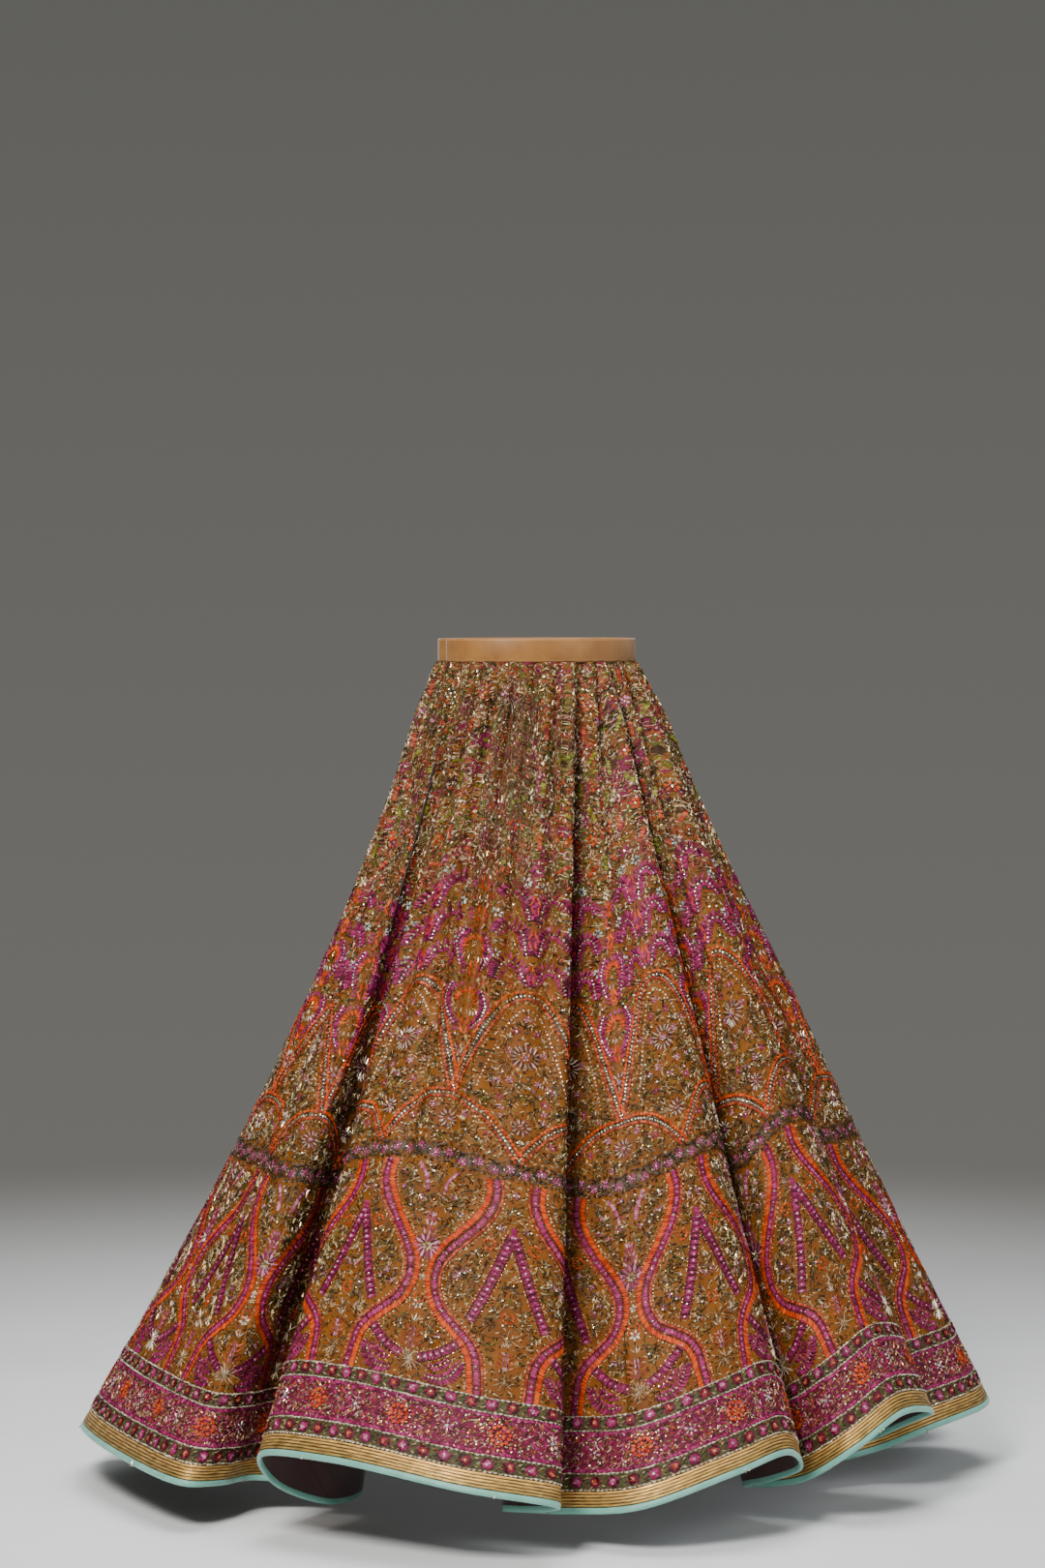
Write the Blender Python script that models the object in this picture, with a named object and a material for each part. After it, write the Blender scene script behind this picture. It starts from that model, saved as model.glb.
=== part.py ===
"""A worn lehenga skirt: kali panels between a waistband and a bound, bordered hem, with its lining.

The part hangs with +Z up. Its origin is the middle of the waistband's top edge, where the wearer
holds it, and its front faces -Y. Bearings are degrees around +Z, counted from +X towards +Y.
"""

import bpy
import numpy as np

COLLECTION = "lehenga_skirt"

# Driving dimensions, in metres.
BAND_HEIGHT = 0.030
BAND_WALL = 0.003
WAIST_HALF_WIDTH = 0.134
WAIST_HALF_DEPTH = 0.106
FLOOR = -1.070
KALIS = 24
FACETS = 120
FEWEST_FACETS = 3
KALI_WALL = 0.002
LINING_WALL = 0.001
TRIM_WALL = 0.001
LAYER_GAP = 0.0004
SEAM_GAP = 0.0004
EDGE_GAP = 0.0006
PIPING_HEIGHT = 0.0078
TAPE_TOP = 0.0265
BORDER_TOP = 0.115

# The gathers under the waistband: how many there are, how deep they are at their deepest, and
# where they fade, in the valleys, by the radius that the cloth reaches at the hem.
GATHERS = 30
GATHER_DEPTH = 0.005
GATHER_FREE_RADIUS = 0.45
GATHER_FADE = 0.10
# The cloth falls in a little before it flares, and more so at the wearer's left: the power of the
# share of the way down that its reach outwards follows.
FLARE = 1.06
LEFT_FLARE = 0.19
LEFT_BEARING = -22.0
# Rows down the cloth, as the share of the way from waistband to hem, and the gathers' depth there.
ROWS = (
    # down, gather_share
    (0.00, 0.0),
    (0.10, 1.0),
    (0.32, 0.5),
    (0.62, 0.0),
)

# The hem's course on the side that is widest open: where each fold starts, turns and ends.
# Columns: bearing_deg, radius, height over the floor, bearing at the waist.
OPEN_FOLDS = (
    (-33.0, 0.565, 0.050, -24.0),  # fold 1, a broad one
    (-20.0, 0.587, 0.068, -16.0),
    (-2.0, 0.578, 0.063, -4.0),
    (13.2, 0.580, 0.056, 5.0),
    (13.5, 0.530, 0.050, 8.0),
    (10.5, 0.452, 0.042, 11.0),
    (24.0, 0.372, 0.028, 14.5),
    (25.5, 0.445, 0.028, 18.0),  # fold 2, which overhangs the folds on both sides
    (21.8, 0.505, 0.055, 21.0),
    (23.5, 0.556, 0.100, 25.0),
    (35.0, 0.580, 0.111, 40.0),
    (52.0, 0.602, 0.090, 68.0),
    (62.4, 0.572, 0.067, 85.0),
    (60.8, 0.515, 0.050, 89.5),
    (55.0, 0.465, 0.040, 93.0),
    (64.5, 0.480, 0.040, 96.5),  # fold 3
    (73.0, 0.535, 0.054, 99.0),
    (85.0, 0.550, 0.089, 102.0),
    (94.8, 0.527, 0.101, 107.0),
    (100.3, 0.492, 0.071, 110.0),
    (100.0, 0.442, 0.050, 112.0),
    (100.0, 0.392, 0.035, 114.5),
    (104.6, 0.455, 0.045, 117.0),  # fold 4
    (106.0, 0.530, 0.090, 122.0),
    (114.0, 0.550, 0.127, 129.0),
    (123.8, 0.546, 0.113, 136.0),
    (127.2, 0.500, 0.090, 138.0),
    (127.5, 0.395, 0.035, 140.0),
    (135.0, 0.440, 0.040, 142.0),  # fold 5
    (137.8, 0.512, 0.068, 145.0),
    (148.0, 0.579, 0.081, 152.0),
    (158.0, 0.581, 0.080, 158.0),
    (164.0, 0.540, 0.062, 162.0),
    (164.0, 0.440, 0.030, 165.5),
)
# The plain folds on the other sides, each with the valley that follows it.
# Columns: crown_deg, crown_radius, crown_height, half_width_deg, valley_deg, valley_radius.
PLAIN_FOLDS = (
    (180.0, 0.585, 0.085, 14.5, 196.0, 0.475),
    (211.0, 0.590, 0.095, 14.5, 227.0, 0.465),
    (243.0, 0.585, 0.080, 14.5, 258.0, 0.475),
    (274.0, 0.590, 0.100, 14.0, 289.0, 0.465),
    (305.0, 0.585, 0.085, 14.0, 320.5, 0.475),
)
# How a plain fold's cloth runs, in shares of its half width and in metres inside its crown.
# Columns: bearing_share, radius_drop, height_share, waist_share.
PLAIN_FOLD_COURSE = (
    (-0.86, 0.095, 0.50, -0.80),
    (-0.90, 0.040, 0.80, -0.58),
    (-0.45, 0.005, 1.00, -0.32),
    (0.45, 0.003, 0.95, 0.32),
    (0.96, 0.040, 0.72, 0.58),
    (0.94, 0.095, 0.50, 0.80),
)
VALLEY_HEIGHT = 0.030

# The closure, at the wearer's left: the band's end passes under its start, and a hook takes a bar.
BAND_STEP_DEG = 6
UNDERLAP_DEG = 18
STEP_IN_DEG = 12
HOOK_WALL = 0.0008
HOOK_HEIGHT = 0.010
HOOK_FACET = 1
CLOSURE_ROOM = 2 * HOOK_WALL + 3 * LAYER_GAP

# Columns: base colour, roughness, metallic.
COLOURS = {
    "embroidered_silk": ((0.42, 0.20, 0.06, 1.0), 0.6, 0.0),
    "border_silk": ((0.33, 0.05, 0.18, 1.0), 0.6, 0.0),
    "gold_braid": ((0.60, 0.40, 0.16, 1.0), 0.4, 0.6),
    "aqua_satin": ((0.25, 0.58, 0.50, 1.0), 0.5, 0.0),
    "maroon_lining": ((0.10, 0.03, 0.03, 1.0), 0.7, 0.0),
    "steel": ((0.6, 0.6, 0.6, 1.0), 0.35, 1.0),
}

# How closely the cloth is faceted: one column for this much straight hem, or for this much turn.
STRAIGHT_COLUMN = 0.075
TURN_OF_COLUMN = np.radians(32.0)
SPLINE_STEPS = 40


def hem_course():
    """The hem's turning points: x, y, z and the bearing at the waist, once round."""
    rows = list(OPEN_FOLDS)
    for crown, radius, height, half_width, valley, valley_radius in PLAIN_FOLDS:
        for across, drop, lift, waist in PLAIN_FOLD_COURSE:
            bearing = crown + half_width * across
            rows.append((bearing, radius - drop, height * lift, crown + half_width * waist))
        rows.append((valley, valley_radius, VALLEY_HEIGHT, valley))
    bearing, radius, height, waist = np.array(rows).T
    angle = np.radians(bearing)
    return np.stack([radius * np.cos(angle), radius * np.sin(angle), FLOOR + height, waist], axis=1)


def blend(a, b, start, end, t):
    return ((end - t) * a + (t - start) * b) / (end - start)


def smooth_through(points):
    """A closed centripetal Catmull-Rom curve through the points."""
    pieces = []
    for i in range(len(points)):
        p = [points[(i + k - 1) % len(points)] for k in range(4)]
        k = np.cumsum([0.0] + [np.linalg.norm(p[j + 1] - p[j]) ** 0.5 for j in range(3)])
        t = np.linspace(k[1], k[2], SPLINE_STEPS, endpoint=False)[:, None]
        first = blend(p[0], p[1], k[0], k[1], t)
        middle = blend(p[1], p[2], k[1], k[2], t)
        last = blend(p[2], p[3], k[2], k[3], t)
        early = blend(first, middle, k[0], k[2], t)
        late = blend(middle, last, k[1], k[3], t)
        pieces.append(blend(early, late, k[1], k[2], t))
    return np.concatenate(pieces)


def fine_hem():
    """The hem as close points with their waist bearings, closed, and each one's length from the first."""
    course = hem_course()
    points = smooth_through(course[:, :3])
    steps = np.arange(len(points) + 1) / SPLINE_STEPS
    waist = np.interp(steps, np.arange(len(course) + 1), np.append(course[:, 3], course[0, 3] + 360.0))
    points = np.concatenate([points, points[:1]])
    along = np.append(0.0, np.cumsum(np.linalg.norm(np.diff(points, axis=0), axis=1)))
    return points, waist, along


def column_places(points, along):
    """Lengths along the hem of every column, and which columns are seams.

    The seams are evenly spaced. Between them the columns stand closer where the hem turns more.
    """
    step = np.diff(points[:, :2], axis=0)
    heading = np.unwrap(np.arctan2(step[:, 1], step[:, 0]))
    turning = np.abs(np.append(np.diff(heading), 0.0))
    need = np.diff(along) / STRAIGHT_COLUMN + turning / TURN_OF_COLUMN
    needed = np.append(0.0, np.cumsum(need))
    needed *= FACETS / needed[-1]
    seams = np.linspace(0.0, along[-1], KALIS + 1)
    needed_at_seams = np.interp(seams, along, needed)
    places = []
    seam_columns = []
    for low, high in zip(needed_at_seams[:-1], needed_at_seams[1:]):
        facets = max(FEWEST_FACETS, round(high - low))
        seam_columns.append(len(places))
        places.extend(np.interp(np.linspace(low, high, facets, endpoint=False), needed, along))
    seam_columns.append(len(places))
    return np.array(places), seam_columns


def waist_point(bearing_deg):
    """A point on the waist's oval at a bearing, on the line where the cloth meets the band."""
    angle = np.radians(bearing_deg)
    x = WAIST_HALF_WIDTH * np.cos(angle)
    y = WAIST_HALF_DEPTH * np.sin(angle)
    return np.stack([x, y, np.full_like(x, -BAND_HEIGHT)], axis=-1)


def cloth_grid():
    """The cloth's outer face: rings of points from waist to hem edge, their outward steps, the seams."""
    points, waist, along = fine_hem()
    places, seam_columns = column_places(points, along)
    hem = np.stack([np.interp(places, along, points[:, k]) for k in range(3)], axis=1)
    bearing = np.interp(places, along, waist)
    top = waist_point(bearing)
    on_crown = np.clip((np.hypot(hem[:, 0], hem[:, 1]) - GATHER_FREE_RADIUS) / GATHER_FADE, 0.0, 1.0)
    gather = GATHER_DEPTH * on_crown * np.cos(np.radians(GATHERS * bearing))
    border_down = 1.0 - BORDER_TOP / np.linalg.norm(hem - top, axis=1)
    towards_left = np.cos(np.arctan2(hem[:, 1], hem[:, 0]) - np.radians(LEFT_BEARING))
    flare = FLARE + LEFT_FLARE * np.clip(towards_left, 0.0, 1.0) ** 2
    rings = []
    for down, share in ROWS + ((border_down, 0.0), (1.0, 0.0)):
        reach = down**flare
        ring = top + (hem - top) * np.stack([reach, reach, np.broadcast_to(down, reach.shape)], axis=1)
        outward = ring * (1.0, 1.0, 0.0)
        outward /= np.linalg.norm(outward, axis=1)[:, None]
        rings.append(ring + outward * (gather * share)[:, None])
    rings = np.array(rings)
    return rings, outward_steps(rings), seam_columns


def outward_steps(rings):
    """For each point, the step that moves the faces beside it out by one metre."""
    next_above = np.roll(rings[:-1], -1, axis=1)
    next_below = np.roll(rings[1:], -1, axis=1)
    faces = np.cross(rings[1:] - next_above, next_below - rings[:-1])
    faces /= np.linalg.norm(faces, axis=2)[..., None]
    over = np.concatenate([faces[:1], faces])
    under = np.concatenate([faces, faces[-1:]])
    beside = np.stack([over, under, np.roll(over, 1, axis=1), np.roll(under, 1, axis=1)])
    mean = beside.sum(axis=0)
    mean /= np.linalg.norm(mean, axis=2)[..., None]
    reach = (beside * mean).sum(axis=3).mean(axis=0)
    return mean / reach[..., None]


def above_hem(grid, height):
    """One ring of a grid's points or steps, this far above the hem's edge and below the border's top."""
    share = height / BORDER_TOP
    return grid[-1] * (1.0 - share) + grid[-2] * share


def down_to(grid, height):
    """The rings from the waist to a line this far above the hem's edge."""
    return np.concatenate([grid[:-1], above_hem(grid, height)[None]])


def between(grid, low, high):
    """Two rings, for a strip that lies along the hem."""
    return np.array([above_hem(grid, high), above_hem(grid, low)])


def wall(name, points, steps, outer, inner, material, closed):
    """A cloth wall between two moved copies of a grid of points, with its rims."""
    rows, columns = points.shape[:2]
    moved = np.stack([points + steps * outer, points + steps * inner])
    number = np.arange(2 * rows * columns).reshape(2, rows, columns)
    if closed:
        number = np.concatenate([number, number[:, :, :1]], axis=2)
    out, back = number
    faces = []

    def patch(a, b, c, d):
        """Two triangles in each cell of four corner grids, named round the cell."""
        a, b, c, d = (corner.ravel() for corner in (a, b, c, d))
        faces.extend(np.stack([a, b, c], axis=1).tolist())
        faces.extend(np.stack([a, c, d], axis=1).tolist())

    patch(out[:-1, :-1], out[1:, :-1], out[1:, 1:], out[:-1, 1:])
    patch(back[1:, 1:], back[1:, :-1], back[:-1, :-1], back[:-1, 1:])
    patch(back[0, :-1], out[0, :-1], out[0, 1:], back[0, 1:])
    patch(out[-1, :-1], back[-1, :-1], back[-1, 1:], out[-1, 1:])
    if not closed:
        patch(out[:-1, 0], back[:-1, 0], back[1:, 0], out[1:, 0])
        patch(out[:-1, -1], out[1:, -1], back[1:, -1], back[:-1, -1])
    mesh = bpy.data.meshes.new(name)
    mesh.from_pydata(moved.reshape(-1, 3).tolist(), [], faces)
    mesh.materials.append(material)
    piece = bpy.data.objects.new(name, mesh)
    bpy.data.collections[COLLECTION].objects.link(piece)


def kali(name, rings, steps, first, last, material):
    """One panel, from one seam's column to the next one's, drawn in a little at both."""
    columns = np.arange(first, last + 1)
    points = rings.take(columns, axis=1, mode="wrap")
    inset = points[:, [1, -2]] - points[:, [0, -1]]
    inset /= np.linalg.norm(inset, axis=2)[..., None]
    points[:, [0, -1]] += inset * SEAM_GAP / 2
    wall(name, points, steps.take(columns, axis=1, mode="wrap"), 0.0, -KALI_WALL, material, False)


def waistband(band_material, hook_material):
    """The band from its start at bearing 0 round to its underlap, with the hook and bar between."""
    bearing = np.arange(0, 360 + UNDERLAP_DEG + 1, BAND_STEP_DEG)
    centre = waist_point(bearing)
    outward = centre / np.square((WAIST_HALF_WIDTH, WAIST_HALF_DEPTH, 1.0))
    outward[:, 2] = 0.0
    outward /= np.linalg.norm(outward, axis=1)[:, None]
    step_in = np.clip((bearing - 360 + STEP_IN_DEG) / (STEP_IN_DEG - BAND_STEP_DEG), 0.0, 1.0)
    centre -= outward * (step_in * (BAND_WALL + CLOSURE_ROOM))[:, None]

    def level(columns, middle, height):
        points = np.stack([centre[columns], centre[columns]])
        points[:, :, 2] = np.array([[middle + height / 2], [middle - height / 2]])
        return points, np.stack([outward[columns], outward[columns]])

    middle = (LAYER_GAP - BAND_HEIGHT) / 2
    everywhere = np.arange(len(bearing))
    points, steps = level(everywhere, middle, BAND_HEIGHT - LAYER_GAP)
    wall("waistband", points, steps, 0.0, -BAND_WALL, band_material, False)
    over = np.array([HOOK_FACET, HOOK_FACET + 1])
    points, steps = level(over, middle, HOOK_HEIGHT)
    hook_back = -BAND_WALL - LAYER_GAP
    wall("waist_hook", points, steps, hook_back, hook_back - HOOK_WALL, hook_material, False)
    points, steps = level(over + 360 // BAND_STEP_DEG, middle, HOOK_HEIGHT)
    wall("waist_bar", points, steps, LAYER_GAP + HOOK_WALL, LAYER_GAP, hook_material, False)


def make_material(name):
    colour, roughness, metallic = COLOURS[name]
    material = bpy.data.materials.new(name)
    material.use_nodes = True
    shader = material.node_tree.nodes["Principled BSDF"]
    shader.inputs["Base Color"].default_value = colour
    shader.inputs["Roughness"].default_value = roughness
    shader.inputs["Metallic"].default_value = metallic
    return material


def main():
    for obj in list(bpy.data.objects):
        bpy.data.objects.remove(obj)
    collection = bpy.data.collections.new(COLLECTION)
    bpy.context.scene.collection.children.link(collection)
    material = {name: make_material(name) for name in COLOURS}
    rings, steps, seams = cloth_grid()
    outside = LAYER_GAP + TRIM_WALL
    lining_face = -KALI_WALL - LAYER_GAP
    inside = lining_face - LINING_WALL

    panel_rings = down_to(rings, PIPING_HEIGHT)
    panel_steps = down_to(steps, PIPING_HEIGHT)
    for number, (first, last) in enumerate(zip(seams[:-1], seams[1:]), start=1):
        name = f"kali_{number:02d}"
        kali(name, panel_rings, panel_steps, first, last, material["embroidered_silk"])
    wall("lining", panel_rings, panel_steps, lining_face, inside, material["maroon_lining"], True)

    strips = (
        # name, low, high, outer, inner, material
        ("hem_border", TAPE_TOP + LAYER_GAP, BORDER_TOP, outside, LAYER_GAP, "border_silk"),
        ("gold_tape", PIPING_HEIGHT, TAPE_TOP, outside, LAYER_GAP, "gold_braid"),
        ("hem_piping", 0.0, PIPING_HEIGHT - EDGE_GAP, outside, inside, "aqua_satin"),
    )
    for name, low, high, outer, inner, cloth in strips:
        strip_rings = between(rings, low, high)
        strip_steps = between(steps, low, high)
        wall(name, strip_rings, strip_steps, outer, inner, material[cloth], True)
    waistband(material["embroidered_silk"], material["steel"])


main()
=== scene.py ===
"""The looks of a worn lehenga skirt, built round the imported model: cloth, trims and embroidery.

Lengths are in metres. A place on the cloth is given by two numbers: s, the length along the hem from
the first seam, and v, the height above the hem's edge, measured along the cloth.
"""

import bpy
import numpy as np
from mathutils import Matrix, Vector


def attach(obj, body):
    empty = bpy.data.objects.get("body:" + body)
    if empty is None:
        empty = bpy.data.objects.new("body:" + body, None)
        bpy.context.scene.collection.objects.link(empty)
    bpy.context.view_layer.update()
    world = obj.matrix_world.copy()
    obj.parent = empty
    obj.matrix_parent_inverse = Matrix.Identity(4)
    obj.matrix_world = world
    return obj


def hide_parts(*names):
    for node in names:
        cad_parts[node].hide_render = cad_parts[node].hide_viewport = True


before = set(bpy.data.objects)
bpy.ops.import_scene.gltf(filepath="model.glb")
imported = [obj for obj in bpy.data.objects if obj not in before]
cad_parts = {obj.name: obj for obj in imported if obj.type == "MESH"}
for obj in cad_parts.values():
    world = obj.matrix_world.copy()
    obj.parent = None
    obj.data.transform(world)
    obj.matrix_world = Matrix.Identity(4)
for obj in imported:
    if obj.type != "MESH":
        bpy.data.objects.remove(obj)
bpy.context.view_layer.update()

# The form of the cloth, as the solids have it.
BAND_HEIGHT = 0.030
BAND_WALL = 0.003
WAIST_HALF_WIDTH = 0.134
WAIST_HALF_DEPTH = 0.106
FLOOR = -1.070
KALIS = 24
PIPING_TOP = 0.0072
TAPE_LOW = 0.0078
TAPE_TOP = 0.0265
BORDER_LOW = 0.0269
BORDER_TOP = 0.115
GATHERS = 30
GATHER_DEPTH = 0.005
GATHER_FREE_RADIUS = 0.45
GATHER_FADE = 0.10
GATHER_ROWS = (
    # down, share
    (0.00, 0.0),
    (0.10, 1.0),
    (0.32, 0.5),
    (0.62, 0.0),
)
# The cloth's own gathers are deeper than the solids', uneven, and reach further down.
DEEPER = 0.0110
UNEVEN = 0.7
DEEPER_ROWS = (
    # down, share
    (0.00, 0.2),
    (0.07, 1.0),
    (0.38, 0.8),
    (0.80, 0.0),
)
FLARE = 1.06
LEFT_FLARE = 0.19
LEFT_BEARING = -22.0
SPLINE_STEPS = 40
# Columns: bearing_deg, radius, height over the floor, bearing at the waist.
OPEN_FOLDS = (
    (-33.0, 0.565, 0.050, -24.0),  # fold 1, a broad one
    (-20.0, 0.587, 0.068, -16.0),
    (-2.0, 0.578, 0.063, -4.0),
    (13.2, 0.580, 0.056, 5.0),
    (13.5, 0.530, 0.050, 8.0),
    (10.5, 0.452, 0.042, 11.0),
    (24.0, 0.372, 0.028, 14.5),
    (25.5, 0.445, 0.028, 18.0),  # fold 2, which overhangs the folds on both sides
    (21.8, 0.505, 0.055, 21.0),
    (23.5, 0.556, 0.100, 25.0),
    (35.0, 0.580, 0.111, 40.0),
    (52.0, 0.602, 0.090, 68.0),
    (62.4, 0.572, 0.067, 85.0),
    (60.8, 0.515, 0.050, 89.5),
    (55.0, 0.465, 0.040, 93.0),
    (64.5, 0.480, 0.040, 96.5),  # fold 3
    (73.0, 0.535, 0.054, 99.0),
    (85.0, 0.550, 0.089, 102.0),
    (94.8, 0.527, 0.101, 107.0),
    (100.3, 0.492, 0.071, 110.0),
    (100.0, 0.442, 0.050, 112.0),
    (100.0, 0.392, 0.035, 114.5),
    (104.6, 0.455, 0.045, 117.0),  # fold 4
    (106.0, 0.530, 0.090, 122.0),
    (114.0, 0.550, 0.127, 129.0),
    (123.8, 0.546, 0.113, 136.0),
    (127.2, 0.500, 0.090, 138.0),
    (127.5, 0.395, 0.035, 140.0),
    (135.0, 0.440, 0.040, 142.0),  # fold 5
    (137.8, 0.512, 0.068, 145.0),
    (148.0, 0.579, 0.081, 152.0),
    (158.0, 0.581, 0.080, 158.0),
    (164.0, 0.540, 0.062, 162.0),
    (164.0, 0.440, 0.030, 165.5),
)
# Columns: crown_deg, crown_radius, crown_height, half_width_deg, valley_deg, valley_radius.
PLAIN_FOLDS = (
    (180.0, 0.585, 0.085, 14.5, 196.0, 0.475),
    (211.0, 0.590, 0.095, 14.5, 227.0, 0.465),
    (243.0, 0.585, 0.080, 14.5, 258.0, 0.475),
    (274.0, 0.590, 0.100, 14.0, 289.0, 0.465),
    (305.0, 0.585, 0.085, 14.0, 320.5, 0.475),
)
# Columns: bearing_share, radius_drop, height_share, waist_share.
PLAIN_FOLD_COURSE = (
    (-0.86, 0.095, 0.50, -0.80),
    (-0.90, 0.040, 0.80, -0.58),
    (-0.45, 0.005, 1.00, -0.32),
    (0.45, 0.003, 0.95, 0.32),
    (0.96, 0.040, 0.72, 0.58),
    (0.94, 0.095, 0.50, 0.80),
)
VALLEY_HEIGHT = 0.030

# Soft troughs and ridges. Columns: panel, from, to (shares of the way down), depth, half its width
# and how far it drifts, both in panels. A depth below 0 is a trough.
CREASES = (
    (3.15, 0.01, 0.85, -0.0030, 0.26, 0.05),
    (6.22, 0.00, 0.92, -0.0140, 0.24, 0.05),
    (8.58, 0.00, 0.88, -0.0130, 0.23, 0.05),
    (10.9, 0.00, 0.84, -0.0120, 0.23, 0.05),
    (13.2, 0.00, 0.82, -0.0090, 0.22, 0.00),
    (15.3, 0.00, 0.85, -0.0105, 0.22, 0.05),
    (17.4, 0.00, 0.80, -0.0115, 0.20, 0.00),
    (19.4, 0.00, 0.78, -0.0095, 0.22, 0.05),
    (21.5, 0.00, 0.88, -0.0110, 0.20, 0.00),
    (23.6, 0.00, 0.80, -0.0100, 0.22, 0.05),
    (2.90, -0.10, 0.50, -0.0095, 0.34, 0.10),
    (4.05, -0.05, 0.44, -0.0075, 0.26, -0.05),
    (5.15, -0.08, 0.42, -0.0080, 0.30, 0.05),
    (6.20, -0.12, 0.52, -0.0100, 0.34, 0.05),
    (7.35, -0.06, 0.46, -0.0080, 0.28, 0.05),
    (8.55, -0.10, 0.52, -0.0100, 0.34, 0.05),
    (9.65, -0.05, 0.42, -0.0075, 0.27, -0.05),
    (10.8, -0.10, 0.50, -0.0095, 0.32, 0.05),
    (12.2, -0.06, 0.46, -0.0080, 0.30, 0.05),
    (14.3, -0.08, 0.46, -0.0080, 0.30, 0.00),
    (16.3, -0.06, 0.42, -0.0070, 0.28, 0.05),
    (18.4, -0.08, 0.48, -0.0080, 0.30, -0.05),
    (20.5, -0.06, 0.42, -0.0075, 0.28, 0.05),
    (22.6, -0.08, 0.46, -0.0080, 0.30, 0.00),
    (0.15, 0.04, 0.52, -0.0034, 0.16, 0.20),
    (0.80, 0.02, 0.40, 0.0030, 0.12, -0.08),
    (1.30, 0.03, 0.62, -0.0040, 0.14, 0.10),
    (2.05, 0.05, 0.45, 0.0026, 0.13, 0.12),
    (2.60, 0.30, 0.84, -0.0032, 0.17, -0.14),
    (3.20, 0.02, 0.48, -0.0036, 0.12, 0.06),
    (4.10, 0.04, 0.58, 0.0032, 0.15, -0.10),
    (4.70, 0.35, 0.90, -0.0028, 0.16, 0.15),
    (5.30, 0.03, 0.38, -0.0030, 0.11, 0.05),
    (5.72, 0.02, 0.70, 0.0064, 0.18, 0.10),
    (6.75, 0.02, 0.44, -0.0038, 0.12, -0.09),
    (7.50, 0.28, 0.80, 0.0026, 0.18, 0.10),
    (8.05, 0.02, 0.70, 0.0066, 0.18, 0.10),
    (8.90, 0.04, 0.42, 0.0028, 0.12, -0.06),
    (9.45, 0.25, 0.88, -0.0034, 0.15, -0.12),
    (10.2, 0.02, 0.50, -0.0030, 0.12, 0.10),
    (10.4, 0.02, 0.66, 0.0060, 0.17, 0.05),
    (11.6, 0.03, 0.40, -0.0030, 0.12, -0.10),
    (12.5, 0.04, 0.70, -0.0036, 0.16, 0.10),
    (13.4, 0.02, 0.45, 0.0030, 0.13, -0.08),
    (14.1, 0.30, 0.86, -0.0030, 0.17, 0.12),
    (15.2, 0.03, 0.50, -0.0036, 0.13, 0.06),
    (16.3, 0.05, 0.58, 0.0032, 0.15, -0.10),
    (17.1, 0.02, 0.42, -0.0032, 0.12, 0.08),
    (18.0, 0.32, 0.90, -0.0028, 0.16, -0.12),
    (19.2, 0.04, 0.55, 0.0034, 0.14, 0.10),
    (20.1, 0.03, 0.48, -0.0036, 0.12, 0.05),
    (21.3, 0.05, 0.64, -0.0032, 0.15, -0.10),
    (22.2, 0.02, 0.40, 0.0028, 0.12, 0.08),
    (23.1, 0.28, 0.82, -0.0032, 0.16, 0.12),
)

# Gathers and creases together move the cloth freely by the first, and then by no more than the second.
FREE_PUSH = 0.010
LAST_PUSH = 0.004

# How the cloths lie over each other.
BORDER_FACE = 0.0012
BAND_LOW = 0.0475
BAND_TOP = 0.0968
BORDER_FOLD = 0.0003
LINING_FACE = -0.0038
LINING_GAP = 0.001
TURNING = 0.0018
SEAM_HALF_GAP = 0.0002
TAPE_FACE = 0.0010
TAPE_RIDGE = 0.0006
TAPE_RIDGES = 5
BRAID_LINE = (TAPE_TOP - TAPE_LOW) / TAPE_RIDGES
# The rolled edge, from its top outside round to its top inside.
PIPING_PROFILE = (
    # height, distance out
    (0.0073, 0.0009),
    (0.0065, 0.0015),
    (0.0045, 0.00175),
    (0.0020, 0.0016),
    (0.0004, 0.0009),
    (-0.0001, -0.0006),
    (0.0003, -0.0022),
    (0.0018, -0.0032),
    (0.0045, -0.0035),
    (0.0070, -0.0032),
)
# Half the waistband's cross-section, mirrored inside.
BAND_PROFILE = (
    # out from the middle of its wall, depth
    (0.0000, 0.0004),
    (0.0010, 0.0007),
    (0.0015, 0.0025),
    (0.0015, 0.0150),
    (0.0015, 0.0280),
    (0.0010, 0.0297),
    (0.0000, 0.0300),
)
UNDERLAP_DEG = 18.0
STEP_IN_DEG = 12.0
BAND_STEP_DEG = 6.0
CLOSURE_ROOM = 0.0028
BAND_FACETS = 252
# How the lining is cut into rows, closely near the waist, where it is gathered.
LINING_ROWS = (
    # from, to (None is just under the waistband), how many
    (0.0075, 0.15, 3),
    (0.19, 0.65, 12),
    (0.67, None, 28),
)

# Topstitching on the waistband: how far from its middle, half its thickness, the length of a stitch
# with the gap after it, and the stitch's share of that.
STITCH_ROW = 0.0125
STITCH_THICK = 0.0003
STITCH_LONG = 0.0030
STITCH_SHARE = 0.7
STITCH_COLOUR = (0.42, 0.22, 0.06, 1.0)

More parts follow.
